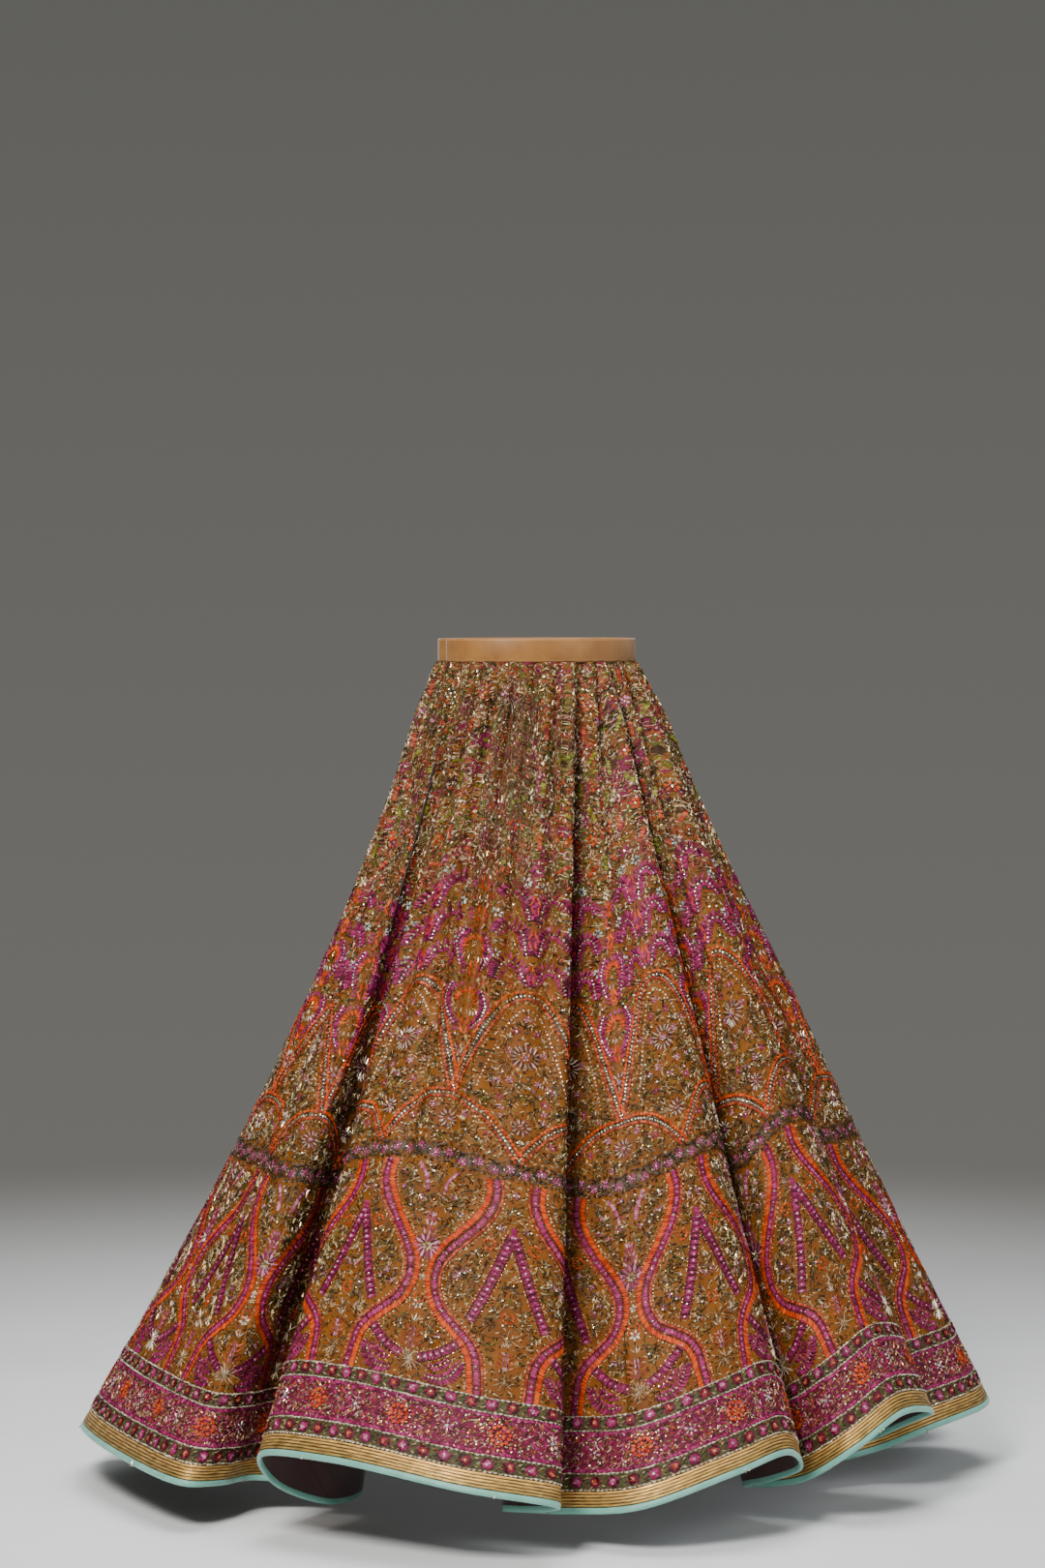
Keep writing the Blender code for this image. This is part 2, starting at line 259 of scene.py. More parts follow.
# The studio. The camera is level and a little over the waist, and its frame is shifted down.
PHOTO_HEIGHT = 1620
FOCAL_PIXELS = 4400
SHIFT_PIXELS = (-15, -183)
SENSOR = 24.0
CAMERA_AWAY = 5.5
CAMERA_RISE = 0.04
VIEW_DEG = 150.0
TO_RIGHT = Vector((np.cos(np.radians(VIEW_DEG)), np.sin(np.radians(VIEW_DEG)), 0.0))
TO_CAMERA = Vector((np.sin(np.radians(VIEW_DEG)), -np.cos(np.radians(VIEW_DEG)), 0.0))
LIT_MIDDLE = Vector((0.0, 0.0, -0.5))
LIGHTS = (
    # name, right, near, up, size, watts, colour
    ("key", -1.1, 3.1, 2.0, 1.1, 190.0, (1.0, 0.97, 0.93)),
    ("fill", 3.0, 2.0, 0.9, 2.2, 44.0, (0.95, 0.98, 1.0)),
    ("top", 0.0, 0.0, 3.0, 2.4, 108.0, (1.0, 1.0, 1.0)),
    ("back", -1.2, -3.2, 1.8, 2.5, 34.0, (1.0, 1.0, 1.0)),
)
# How far from the skirt's middle the floor stays pale, a painted pool of light, and where it has faded out.
FLOOR_PALE_TO = 0.3
FLOOR_GONE_BY = 3.2
FLOOR_HALF = FLOOR_GONE_BY * 1.05
BACKDROP_LOW = (0.174, 0.168, 0.154)
BACKDROP_HIGH = (0.112, 0.112, 0.104)
# How far over and under the level the backdrop goes from one grey to the other.
BACKDROP_BLEND = 0.20

# The close grid that every piece reads its places from.
GRID_COLUMNS = 1536
GRID_ROWS = 181
# How many panels have filling of their own before it repeats, and the most stitches in one piece.
FILL_KINDS = 3
MOST_STITCHES = 60_000
# Where the random draws start.
SEED = 24
# How finely the shells are cut.
KALI_COLUMNS = 26
KALI_ROWS = 76
TRIM_COLUMNS = KALIS * KALI_COLUMNS


def hem_course():
    """The hem's turning points: x, y, z and the bearing at the waist, once round."""
    rows = list(OPEN_FOLDS)
    for crown, radius, height, half_width, valley, valley_radius in PLAIN_FOLDS:
        for across, drop, lift, waist in PLAIN_FOLD_COURSE:
            bearing = crown + half_width * across
            rows.append((bearing, radius - drop, height * lift, crown + half_width * waist))
        rows.append((valley, valley_radius, VALLEY_HEIGHT, valley))
    bearing, radius, height, waist = np.array(rows).T
    angle = np.radians(bearing)
    return np.stack([radius * np.cos(angle), radius * np.sin(angle), FLOOR + height, waist], axis=1)


def blend(a, b, start, end, t):
    return ((end - t) * a + (t - start) * b) / (end - start)


def smooth_through(points):
    """A closed centripetal Catmull-Rom curve through the points."""
    pieces = []
    for i in range(len(points)):
        p = [points[(i + k - 1) % len(points)] for k in range(4)]
        k = np.cumsum([0.0] + [np.linalg.norm(p[j + 1] - p[j]) ** 0.5 for j in range(3)])
        t = np.linspace(k[1], k[2], SPLINE_STEPS, endpoint=False)[:, None]
        first = blend(p[0], p[1], k[0], k[1], t)
        middle = blend(p[1], p[2], k[1], k[2], t)
        last = blend(p[2], p[3], k[2], k[3], t)
        early = blend(first, middle, k[0], k[2], t)
        late = blend(middle, last, k[1], k[3], t)
        pieces.append(blend(early, late, k[1], k[2], t))
    return np.concatenate(pieces)


def unit(vectors):
    return vectors / np.maximum(np.linalg.norm(vectors, axis=-1), 1e-9)[..., None]


def lengths(points):
    """How far along a row of points each one lies."""
    return np.append(0.0, np.cumsum(np.linalg.norm(np.diff(points, axis=0), axis=1)))


def waist_oval(bearing):
    angle = np.radians(bearing)
    return np.stack([WAIST_HALF_WIDTH * np.cos(angle), WAIST_HALF_DEPTH * np.sin(angle)], axis=1)


class Cloth:
    """The skirt's outer face as a close grid, read at any s and v."""

    def __init__(self):
        course = hem_course()
        points = smooth_through(course[:, :3])
        steps = np.arange(len(points) + 1) / SPLINE_STEPS
        bearings = np.append(course[:, 3], course[0, 3] + 360.0)
        waist = np.interp(steps, np.arange(len(bearings)), bearings)
        points = np.concatenate([points, points[:1]])
        along = lengths(points)
        self.length = along[-1]
        self.kali = self.length / KALIS
        self.columns = np.linspace(0.0, self.length, GRID_COLUMNS + 1)
        hem = np.stack([np.interp(self.columns, along, points[:, k]) for k in range(3)], axis=1)
        self.waist = np.interp(self.columns, along, waist)
        top = waist_oval(self.waist)
        top = np.concatenate([top, np.full((len(top), 1), -BAND_HEIGHT)], axis=1)
        self.fall = np.linalg.norm(hem - top, axis=1)
        self.place = self.form(hem, top)
        self.measure()

    def form(self, hem, top):
        down = np.linspace(0.0, 1.0, GRID_ROWS)[:, None]
        towards_left = np.cos(np.arctan2(hem[:, 1], hem[:, 0]) - np.radians(LEFT_BEARING))
        flare = FLARE + LEFT_FLARE * np.clip(towards_left, 0.0, 1.0) ** 2
        reach = down**flare
        share = np.stack([reach, reach, np.broadcast_to(down, reach.shape)], axis=2)
        place = top + (hem - top) * share
        on_crown = np.hypot(hem[:, 0], hem[:, 1]) - GATHER_FREE_RADIUS
        on_crown = np.clip(on_crown / GATHER_FADE, 0.0, 1.0)
        gather = GATHER_DEPTH * on_crown * np.cos(np.radians(GATHERS * self.waist))
        rows, shares = zip(*GATHER_ROWS)
        push = np.interp(down, rows, shares) * gather
        uneven = UNEVEN * np.sin(np.radians(7 * self.waist))
        rows, shares = zip(*DEEPER_ROWS)
        wave = 2 * np.abs(np.cos((np.radians(GATHERS * self.waist) + uneven) / 2)) - 1
        push = push + np.interp(down, rows, shares) * DEEPER * on_crown * wave
        for panel, start, end, depth, half_width, drift in CREASES:
            along = (down - start) / (end - start)
            away = (self.columns / self.kali - panel - drift * along + KALIS / 2) % KALIS - KALIS / 2
            fade = np.sin(np.pi * np.clip(along, 0.0, 1.0)) ** 1.5
            push = push + depth * fade * np.exp(-((away / half_width) ** 2))
        past = np.maximum(np.abs(push) - FREE_PUSH, 0.0)
        push = np.sign(push) * (np.abs(push) - past + LAST_PUSH * np.tanh(past / LAST_PUSH))
        outward = unit(place * (1.0, 1.0, 0.0))
        return place + outward * push[..., None]

    def measure(self):
        """Works out the directions along and up the cloth, and how much narrower it is than at the hem."""
        wrapped = np.concatenate([self.place[:, -2:-1], self.place, self.place[:, 1:2]], axis=1)
        across = (wrapped[:, 2:] - wrapped[:, :-2]) / (2 * self.length / GRID_COLUMNS)
        upward = -np.gradient(self.place, axis=0)
        self.narrowing = np.linalg.norm(across, axis=2)
        self.across = unit(across)
        self.normal = unit(np.cross(self.across, unit(upward)))
        self.upward = np.cross(self.normal, self.across)

    def cell(self, s, v):
        column = (s / self.length % 1.0) * GRID_COLUMNS
        row = np.clip(1.0 - v / self.fall_at(s), 0.0, 1.0) * (GRID_ROWS - 1)
        left = np.minimum(column.astype(int), GRID_COLUMNS - 1)
        upper = np.minimum(row.astype(int), GRID_ROWS - 2)
        return left, upper, column - left, row - upper

    def fall_at(self, s):
        """How far the cloth falls at s, from the waistband to the hem."""
        return np.interp(s % self.length, self.columns, self.fall)

    def read(self, table, where):
        left, upper, x, y = where
        if table.ndim == 3:
            x = x[..., None]
            y = y[..., None]
        high = table[upper, left] * (1 - x) + table[upper, left + 1] * x
        low = table[upper + 1, left] * (1 - x) + table[upper + 1, left + 1] * x
        return high * (1 - y) + low * y

    def ratio(self, s, v):
        """How wide the cloth is at s and v, as a share of its width at the hem."""
        return self.read(self.narrowing, self.cell(s, v))

    def at(self, s, v, out=0.0):
        """Points this far out from the cloth at s and v."""
        s, v, out = np.broadcast_arrays(s, v, out)
        where = self.cell(s, v)
        return self.read(self.place, where) + unit(self.read(self.normal, where)) * out[..., None]


cloth = Cloth()


def link(name, mesh, material):
    mesh.materials.append(material)
    piece = bpy.data.objects.new(name, mesh)
    bpy.context.scene.collection.objects.link(piece)
    return piece


def mesh_from(name, points, faces, smooth):
    """A mesh of faces that all have the same number of corners."""
    mesh = bpy.data.meshes.new(name)
    mesh.vertices.add(len(points))
    mesh.vertices.foreach_set("co", np.asarray(points, np.float32).ravel())
    corners = faces.shape[1]
    mesh.loops.add(faces.size)
    mesh.loops.foreach_set("vertex_index", faces.astype(np.int32).ravel())
    mesh.polygons.add(len(faces))
    mesh.polygons.foreach_set("loop_start", np.arange(0, faces.size, corners, dtype=np.int32))
    mesh.update(calc_edges=True)
    mesh.polygons.foreach_set("use_smooth", np.full(len(faces), smooth))
    return mesh


def grid_faces(rows, columns, closed):
    """Quads over a grid of rows by columns, whose last column meets the first if it is closed."""
    number = np.arange(rows * columns).reshape(rows, columns)
    if closed:
        number = np.concatenate([number, number[:, :1]], axis=1)
    corners = (number[1:, :-1], number[1:, 1:], number[:-1, 1:], number[:-1, :-1])
    return np.stack([corner.ravel() for corner in corners], axis=1)


def grid_places(across, down):
    """A map's places over a grid, column by column and row by row."""
    return np.stack(np.broadcast_arrays(across, down), axis=2).reshape(-1, 2)


def give_map(mesh, name, places):
    """A UV map whose place at each vertex is given."""
    vertex = np.empty(len(mesh.loops), np.int32)
    mesh.loops.foreach_get("vertex_index", vertex)
    layer = mesh.uv_layers.new(name=name)
    layer.uv.foreach_set("vector", np.asarray(places, np.float32)[vertex].ravel())


def shell(name, points, across, down, metric):
    """A sheet's mesh over a grid, with its baking map and its places in metres."""
    mesh = mesh_from(name, points.reshape(-1, 3), grid_faces(*points.shape[:2], False), True)
    give_map(mesh, "OFBake", grid_places(across, down))
    give_map(mesh, "Cloth", metric)
    return mesh


def dress(mesh, material, node):
    """The sheet's own piece, in the place of a CAD node."""
    piece = link(mesh.name, mesh, material)
    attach(piece, "root")
    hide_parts(node)
    return piece


SOCKETS = {"sheen_weight": "Sheen Weight", "specular_ior_level": "Specular IOR Level"}


# Where the darker and the paler of two cloudy colours are reached.
CLOUD_LOW = 0.3
CLOUD_HIGH = 0.7
# How much of a small stitch has to show before it has its thread's colour.
STROKE_EDGE = (0.15, 0.45)
STROKE_REACH = (0.48, 0.12)


class Graph:
    """Short ways to add nodes to a new material."""

    def __init__(self, name):
        self.material = bpy.data.materials.new(name)
        self.material.use_nodes = True
        self.tree = self.material.node_tree
        self.shader = self.tree.nodes["Principled BSDF"]

    def fill(self, node, values):
        for key, value in values.items():
            if isinstance(value, bpy.types.NodeSocket):
                self.tree.links.new(value, node.inputs[key])
            else:
                node.inputs[key].default_value = value

    def put(self, kind, values, **settings):
        node = self.tree.nodes.new("ShaderNode" + kind)
        for key, value in settings.items():
            setattr(node, key, value)
        self.fill(node, values)
        return node

    def maths(self, operation, first, second=0.0):
        return self.put("Math", {0: first, 1: second}, operation=operation).outputs[0]

    def scaled(self, vector, scale, turn=0.0, shift=(0.0, 0.0, 0.0)):
        values = {"Vector": vector, "Scale": scale, "Rotation": (0.0, 0.0, turn), "Location": shift}
        return self.put("Mapping", values).outputs[0]

    def noise(self, vector, scale, detail=2.0):
        values = {"Vector": vector, "Scale": scale, "Detail": detail}
        return self.put("TexNoise", values).outputs["Fac"]

    def weave(self, places, scale, number, detail=0.0):
        """Noise that is stretched along or across the cloth."""
        return self.noise(self.scaled(places, scale), number, detail)

    def places(self):
        """Places on the cloth laid flat, in metres."""
        return self.put("UVMap", {}, uv_map="Cloth").outputs[0]

    def span(self, value, start=0.0, end=1.0, low=0.0, high=1.0):
        """Low where the value is at the start, high where it is at the end."""
        return self.put("MapRange", {0: value, 1: start, 2: end, 3: low, 4: high}).outputs[0]

    def cloudy(self, places, scale, detail, dark, pale):
        """Two colours in soft patches."""
        return self.ramp(self.noise(places, scale, detail), ((CLOUD_LOW, dark), (CLOUD_HIGH, pale)))

    def ramp(self, value, stops, interpolation="LINEAR"):
        """A colour for each value; stops are rows of (position, colour)."""
        node = self.put("ValToRGB", {"Fac": value})
        node.color_ramp.interpolation = interpolation
        elements = node.color_ramp.elements
        while len(elements) < len(stops):
            elements.new(1.0)
        for element, (position, colour) in zip(elements, stops):
            element.position = position
            element.color = (*colour, 1.0)
        return node.outputs["Color"]

    def mix(self, factor, first, second, blend_type="MIX"):
        values = {0: factor, 6: first, 7: second}
        return self.put("Mix", values, data_type="RGBA", blend_type=blend_type).outputs[2]

    def bump(self, height, strength, distance):
        values = {"Height": height, "Strength": strength, "Distance": distance}
        node = self.put("Bump", values)
        self.fill(self.shader, {"Normal": node.outputs[0]})
        return node

    def finish(self, colour, roughness, metallic=0.0, **others):
        values = {"Base Color": colour, "Roughness": roughness, "Metallic": metallic}
        self.fill(self.shader, values)
        self.fill(self.shader, {SOCKETS[key]: value for key, value in others.items()})
        return self.material


def strokes(graph, places, size, turn, shift, bare):
    """Short stitches in one direction: how much they cover, how sharply, and a random number for each."""
    turned = graph.scaled(places, (1.0, 1.0, 1.0), turn)
    cells = graph.scaled(turned, (1 / size[0], 1 / size[1], 1.0), 0.0, (*shift, 0.0))
    voronoi = graph.put("TexVoronoi", {"Vector": cells, "Scale": 1.0}, voronoi_dimensions="2D")
    near = graph.span(voronoi.outputs["Distance"], *STROKE_REACH)
    split = graph.put("SeparateColor", {0: voronoi.outputs["Color"]})
    shown = graph.maths("MULTIPLY", graph.maths("GREATER_THAN", split.outputs[0], bare), near)
    return shown, graph.span(shown, *STROKE_EDGE), split.outputs[1]


STROKE_LAYERS = (
    # length, width, direction, shares of cells left bare low down and near the waist
    (0.0074, 0.0021, 0.5, 0.80, 0.50),
    (0.0070, 0.0020, 1.7, 0.84, 0.56),
    (0.0078, 0.0022, 2.7, 0.82, 0.58),
)
# What colours the small stitches have low down, and near the waist.
LOW_STITCHES = (
    (0.00, (0.030, 0.014, 0.005)),
    (0.28, (0.050, 0.040, 0.008)),
    (0.52, (0.240, 0.125, 0.040)),
    (0.76, (0.540, 0.380, 0.200)),
)
HIGH_STITCHES = (
    (0.00, (0.030, 0.014, 0.006)),
    (0.24, (0.110, 0.100, 0.012)),
    (0.38, (0.280, 0.042, 0.014)),
    (0.46, (0.210, 0.012, 0.060)),
    (0.58, (0.280, 0.165, 0.072)),
    (0.82, (0.640, 0.500, 0.320)),
)
# The patches of colour between the stitches near the waist.
HIGH_PATCHES = (
    (0.00, (0.045, 0.022, 0.008)),
    (0.26, (0.160, 0.050, 0.008)),
    (0.46, (0.220, 0.040, 0.014)),
    (0.58, (0.160, 0.012, 0.044)),
    (0.72, (0.085, 0.074, 0.012)),
    (0.88, (0.210, 0.075, 0.010)),
)
PATCHES_PER_METRE = 55.0
# Between which heights the cloth takes on its look near the waist.
HIGH_FROM = (0.68, 0.82)


def silk_material():
    """Mustard silk under small stitches that lie in three directions, close together near the waist."""
    graph = Graph("embroidered_silk_cloth")
    places = graph.places()
    v = graph.put("SeparateXYZ", {0: places}).outputs[1]
    colour = graph.cloudy(places, 22.0, 3.0, (0.140, 0.041, 0.005), (0.225, 0.075, 0.009))
    height = graph.maths("MULTIPLY", graph.weave(places, (1.0, 0.25, 1.0), 2200.0), 0.12)
    high = graph.span(v, *HIGH_FROM)
    cells = graph.put("TexVoronoi", {"Vector": places, "Scale": PATCHES_PER_METRE}, voronoi_dimensions="2D")
    split = graph.put("SeparateColor", {0: cells.outputs["Color"]})
    colour = graph.mix(high, colour, graph.ramp(split.outputs[0], HIGH_PATCHES, "CONSTANT"))
    for number, (length, width, turn, bare_low, bare_high) in enumerate(STROKE_LAYERS):
        bare = graph.span(high, low=bare_low, high=bare_high)
        shift = (number * 3.7, number * 1.9)
        shown, sharp, shade = strokes(graph, places, (length, width), turn, shift, bare)
        shades = (graph.ramp(shade, stitches, "CONSTANT") for stitches in (LOW_STITCHES, HIGH_STITCHES))
        colour = graph.mix(sharp, colour, graph.mix(high, *shades))
        height = graph.maths("MAXIMUM", height, shown)
    graph.bump(height, 0.9, 0.0012)
    return graph.finish(colour, 0.6, specular_ior_level=0.15)


# The threads and beads: shades from dark to light, roughness, metallic, flat-faced.
THREADS = {
    "zari": (((0.020, 0.011, 0.004), (0.150, 0.086, 0.033), (0.74, 0.55, 0.30)), 0.33, 0.6, True),
    "beige": (((0.10, 0.060, 0.028), (0.34, 0.23, 0.120), (0.80, 0.65, 0.43)), 0.38, 0.35, True),
    "gold": (((0.26, 0.11, 0.022), (0.62, 0.35, 0.095), (1.00, 0.80, 0.45)), 0.25, 0.8, True),
    "silver": (((0.36, 0.28, 0.19), (0.74, 0.62, 0.46), (1.00, 0.91, 0.74)), 0.26, 0.5, True),
    # The olive thread's darkest shades also paint the shade among the raised stitches.
    "olive": (((0.010, 0.008, 0.003), (0.036, 0.029, 0.007), (0.19, 0.165, 0.025)), 0.5, 0.1, False),
    "umber": (((0.016, 0.010, 0.006), (0.050, 0.031, 0.018), (0.120, 0.080, 0.048)), 0.5, 0.0, False),
    "lime": (((0.070, 0.072, 0.006), (0.15, 0.15, 0.012), (0.30, 0.29, 0.035)), 0.5, 0.0, False),
    "magenta": (((0.095, 0.003, 0.026), (0.240, 0.009, 0.080), (0.40, 0.028, 0.150)), 0.5, 0.0, False),
    "lilac": (((0.16, 0.022, 0.060), (0.36, 0.080, 0.170), (0.60, 0.28, 0.38)), 0.5, 0.0, False),
    "orange": (((0.36, 0.026, 0.003), (0.54, 0.050, 0.005), (0.70, 0.100, 0.012)), 0.5, 0.0, False),
    "coral": (((0.17, 0.014, 0.007), (0.34, 0.044, 0.018), (0.56, 0.115, 0.045)), 0.5, 0.0, False),
    "aqua": (((0.14, 0.22, 0.20), (0.30, 0.42, 0.38), (0.62, 0.76, 0.70)), 0.35, 0.1, True),
    "wine": (((0.026, 0.002, 0.005), (0.075, 0.004, 0.016), (0.17, 0.010, 0.034)), 0.5, 0.0, False),
}


BEAD_GLOSS = 0.5
THREAD_GLOSS = 0.2


def thread_material(name):
    shades, roughness, metallic, flat_faced = THREADS[name]
    graph = Graph(name + "_thread")
    shade = graph.put("Attribute", {}, attribute_name="shade").outputs["Fac"]
    colour = graph.ramp(shade, tuple(zip((0.0, 0.5, 1.0), shades)))
    gloss = BEAD_GLOSS if flat_faced else THREAD_GLOSS
    return graph.finish(colour, roughness, metallic, specular_ior_level=gloss)


class Stitching:
    """Stitches and beads laid flat, by thread: rows of x, y, direction, length, width and height."""

    def __init__(self):
        self.rows = {}

    def add(self, thread, x, y, turn, length, width, height=0.0009):
        row = np.stack([np.ravel(c) for c in np.broadcast_arrays(x, y, turn, length, width, height)], axis=1)
        self.rows.setdefault(thread, []).append(row.astype(float))

    def put(self, other, x=0.0, y=0.0, turn=0.0, size=1.0, flip=False):
        """Adds a copy of other stitches, turned and moved."""
        cos, sin = np.cos(turn), np.sin(turn)
        for thread, rows in other.rows.items():
            row = np.concatenate(rows).copy()
            if flip:
                row[:, 0] *= -1
                row[:, 2] = np.pi - row[:, 2]
            px, py = row[:, 0] * size, row[:, 1] * size
            row[:, 0] = x + px * cos - py * sin
            row[:, 1] = y + px * sin + py * cos
            row[:, 2] += turn
            row[:, 3:5] *= size
            self.rows.setdefault(thread, []).append(row)

    def table(self, thread):
        return np.concatenate(self.rows[thread])


def spaced(path, step, offset=0.0):
    """Points at even steps along a path, moved sideways by offset, with the path's directions there."""
    path = np.asarray(path, float)
    along = lengths(path)
    count = max(2, int(round(along[-1] / step)) + 1)
    places = np.linspace(0.0, along[-1], count)
    x, y = (np.interp(places, along, path[:, k]) for k in range(2))
    ahead = np.minimum(places + step / 2, along[-1])
    behind = np.maximum(places - step / 2, 0.0)
    turn = np.arctan2(
        np.interp(ahead, along, path[:, 1]) - np.interp(behind, along, path[:, 1]),
        np.interp(ahead, along, path[:, 0]) - np.interp(behind, along, path[:, 0]),
    )
    return x - offset * np.sin(turn), y + offset * np.cos(turn), turn


def curve(points, steps=8):
    """A smooth open path through points."""
    p = np.asarray(points, float)
    p = np.concatenate([2 * p[:1] - p[1:2], p, 2 * p[-1:] - p[-2:-1]])
    t = np.linspace(0.0, 1.0, steps, endpoint=False)[:, None]
    pieces = []
    for a, b, c, d in zip(p[:-3], p[1:-2], p[2:-1], p[3:]):
        square, cube = 2 * a - 5 * b + 4 * c - d, 3 * b - a - 3 * c + d
        pieces.append(0.5 * (2 * b + (c - a) * t + square * t**2 + cube * t**3))
    return np.concatenate(pieces + [p[-2:-1]])


# How long the stitches of a line are, and how wide those of satin stitch, in steps from one to the next,
# and how high a bead is, in its own sizes.
LINE_LAP = 1.15
SATIN_LAP = 1.7
BEAD_HEIGHT = 0.25
# Three directions side by side.
THREE = np.array([-1.0, 0.0, 1.0])


def line(stitching, thread, path, step=0.0048, width=0.0018, offset=0.0, height=0.0010):
    """Stitches one behind the other along a path, or beside it."""
    x, y, turn = spaced(path, step, offset)
    stitching.add(thread, x, y, turn, step * LINE_LAP, width, height)


def satin(stitching, thread, path, across, step=0.0022, offset=0.0, slant=0.35, height=0.0011):
    """Close stitches across a path, or beside it."""
    x, y, turn = spaced(path, step, offset)
    stitching.add(thread, x, y, turn + np.pi / 2 - slant, across, step * SATIN_LAP, height)


def beads(stitching, thread, path, step=0.004, size=0.0019, offset=0.0):
    """Beads along a path, or beside it."""
    x, y, turn = spaced(path, step, offset)
    stitching.add(thread, x, y, turn, size, size, size * BEAD_HEIGHT)


def dot(stitching, thread, x, y, size, height=BEAD_HEIGHT):
    """Single beads. Their height is in their own sizes."""
    stitching.add(thread, x, y, 0.0, size, size, size * height)


def fan(stitching, thread, x, y, turns, reach, length, width, height=0.0009):
    """Stitches round a place, each turned away from it."""
    stitching.add(thread, x + reach * np.cos(turns), y + reach * np.sin(turns), turns, length, width, height)


def rays(stitching, thread, count, inner, outer, width, first=0.0, height=0.0010):
    """A ring of stitches from one radius out to another; the first one's direction is given."""
    turns = first + np.arange(count) * 2 * np.pi / count
    fan(stitching, thread, 0.0, 0.0, turns, (inner + outer) / 2, outer - inner, width, height)


def flower(*rings):
    """Rings of rays. Each is thread, how many, inner and outer radius, width, first direction, height."""
    one = Stitching()
    for ring in rings:
        rays(one, *ring)
    return one


def rosette(petal, heart):
    one = flower(
        ("wine", 8, 0.0030, 0.0080, 0.0062, 0.4, 0.0008),
        (petal, 8, 0.0008, 0.0070, 0.0060, 0.0, 0.0013),
        (heart, 6, 0.0002, 0.0040, 0.0036, 0.4, 0.0017),
    )
    dot(one, "silver", 0.0, 0.0, 0.0024, 1.0)
    return one


def small_flower(petal, heart, radius=0.0045, count=5):
    one = flower((petal, count, radius * 0.2, radius, radius * 0.55, 0.3))
    dot(one, heart, 0.0, 0.0, radius * 0.45)
    return one


def roundel():
    """A round flower of orange petals in a ring of gold."""
    one = flower(
        ("orange", 8, 0.0015, 0.0065, 0.0038, 0.0, 0.0020),
        ("orange", 12, 0.0072, 0.0132, 0.0052, 0.2, 0.0020),
        ("gold", 12, 0.0125, 0.0150, 0.0022, 0.46, 0.0020),
        ("coral", 12, 0.0150, 0.0195, 0.0036, 0.2, 0.0018),
    )
    dot(one, "gold", 0.0, 0.0, 0.0032)
    ring = np.arange(18) * 2 * np.pi / 18
    dot(one, "gold", 0.0215 * np.cos(ring), 0.0190 * np.sin(ring), 0.0020)
    return one


def aqua_star():
    one = flower(
        ("silver", 6, 0.0030, 0.0085, 0.0030, 0.5, 0.0013),
        ("gold", 6, 0.0085, 0.0120, 0.0020, 0.0),
        ("wine", 6, 0.0060, 0.0130, 0.0040, 0.0, 0.0007),
    )
    dot(one, "aqua", 0.0, 0.0, 0.0052)
    return one


def burst(count, radius, thread="zari", long_share=1.5):
    """A star of stitches, longer to both sides, with a beaded heart."""
    star = Stitching()
    turns = np.arange(count) * 2 * np.pi / count + np.pi / count
    reach = radius * (1.0 + (long_share - 1.0) * np.abs(np.cos(turns)) ** 3)
    fan(star, thread, 0.0, 0.0, turns, 0.0015 + reach / 2, reach, 0.0015, 0.0015)
    inner = radius * 0.55
    fan(star, thread, 0.0, 0.0, turns + np.pi / count, inner / 2, inner, 0.0014, 0.0011)
    dot(star, "gold", 0.0, 0.0, 0.0036)
    return star


def ring_star(count, inner, outer):
    """An open star of bugles, every other one shorter, round a small flower."""
    star = flower(
        ("wine", count, inner * 0.8, outer, 0.0030, np.pi / count, 0.0006),
        ("beige", count, inner, outer * 0.82, 0.0017, 0.5 * np.pi / count, 0.0013),
        ("lilac", 6, inner * 0.15, inner * 0.75, inner * 0.45, 0.2, 0.0014),
    )
    turns = np.arange(count) * 2 * np.pi / count
    reach = (outer - inner) * (1.0 - 0.12 * (np.arange(count) % 2))
    fan(star, "silver", 0.0, 0.0, turns, inner + reach / 2, reach, 0.0025, 0.0017)
    dot(star, "aqua", 0.0, 0.0, inner * 0.45, 0.9)
    return star


def scroll(thread, size, leaves, leaf_thread):
    """A stem that curls in on itself, with leaves along its outside."""
    stem = Stitching()
    t = np.linspace(0.0, 1.0, 14)
    radius = size * 0.5 * (1.0 - 0.72 * t)
    angle = -1.2 + t * 5.2
    path = np.stack([radius * np.cos(angle), radius * np.sin(angle) + size * 0.15], axis=1)
    line(stem, thread, path, 0.0036, 0.0013)
    x, y, turn = spaced(path[:9], size * 1.3 / leaves, -0.0026)
    stem.add(leaf_thread, x, y, turn - 0.9, 0.0055, 0.0022, 0.0010)
    return stem


def sprig(rng, kinds, length):
    """A bent stem with pale leaves to one side, dark ones to the other, which also paint the shade beside the
    raised stitches, and a small flower at its tip.
    """
    one = Stitching()
    stem, pale, dark, tip = (threads[rng.integers(len(threads))] for threads in kinds)
    bend = rng.choice((-1.0, 1.0)) * rng.uniform(1.2, 3.0)
    t = np.linspace(0.0, 1.0, 8)
    heading = np.pi / 2 + bend * (t - 0.4)
    steps = np.stack([np.cos(heading), np.sin(heading)], axis=1) * length / 7
    path = np.cumsum(steps, axis=0) - steps[0] - (0.0, length / 2)
    line(one, stem, path, 0.0050, 0.0017)
    # The dark leaves are dark thread that also paints the shade beside the raised stitches.
    for side, thread in ((-1, pale), (1, dark)):
        x, y, turn = spaced(path[1:7], 0.0068, 0.0034 * side)
        turn = turn + side * rng.uniform(0.5, 0.8, len(turn))
        one.add(thread, x, y, turn, rng.uniform(0.0070, 0.0092, len(x)), 0.0023, 0.0015)
    fan(one, tip, *path[-1], heading[-1] + 0.85 * THREE, 0.0034, 0.0062, 0.0025, 0.0016)
    dot(one, "silver", *path[-1], 0.0030, 0.9)
    dot(one, "gold", path[2, 0] + 0.0030, path[2, 1], 0.0028, 0.9)
    return one


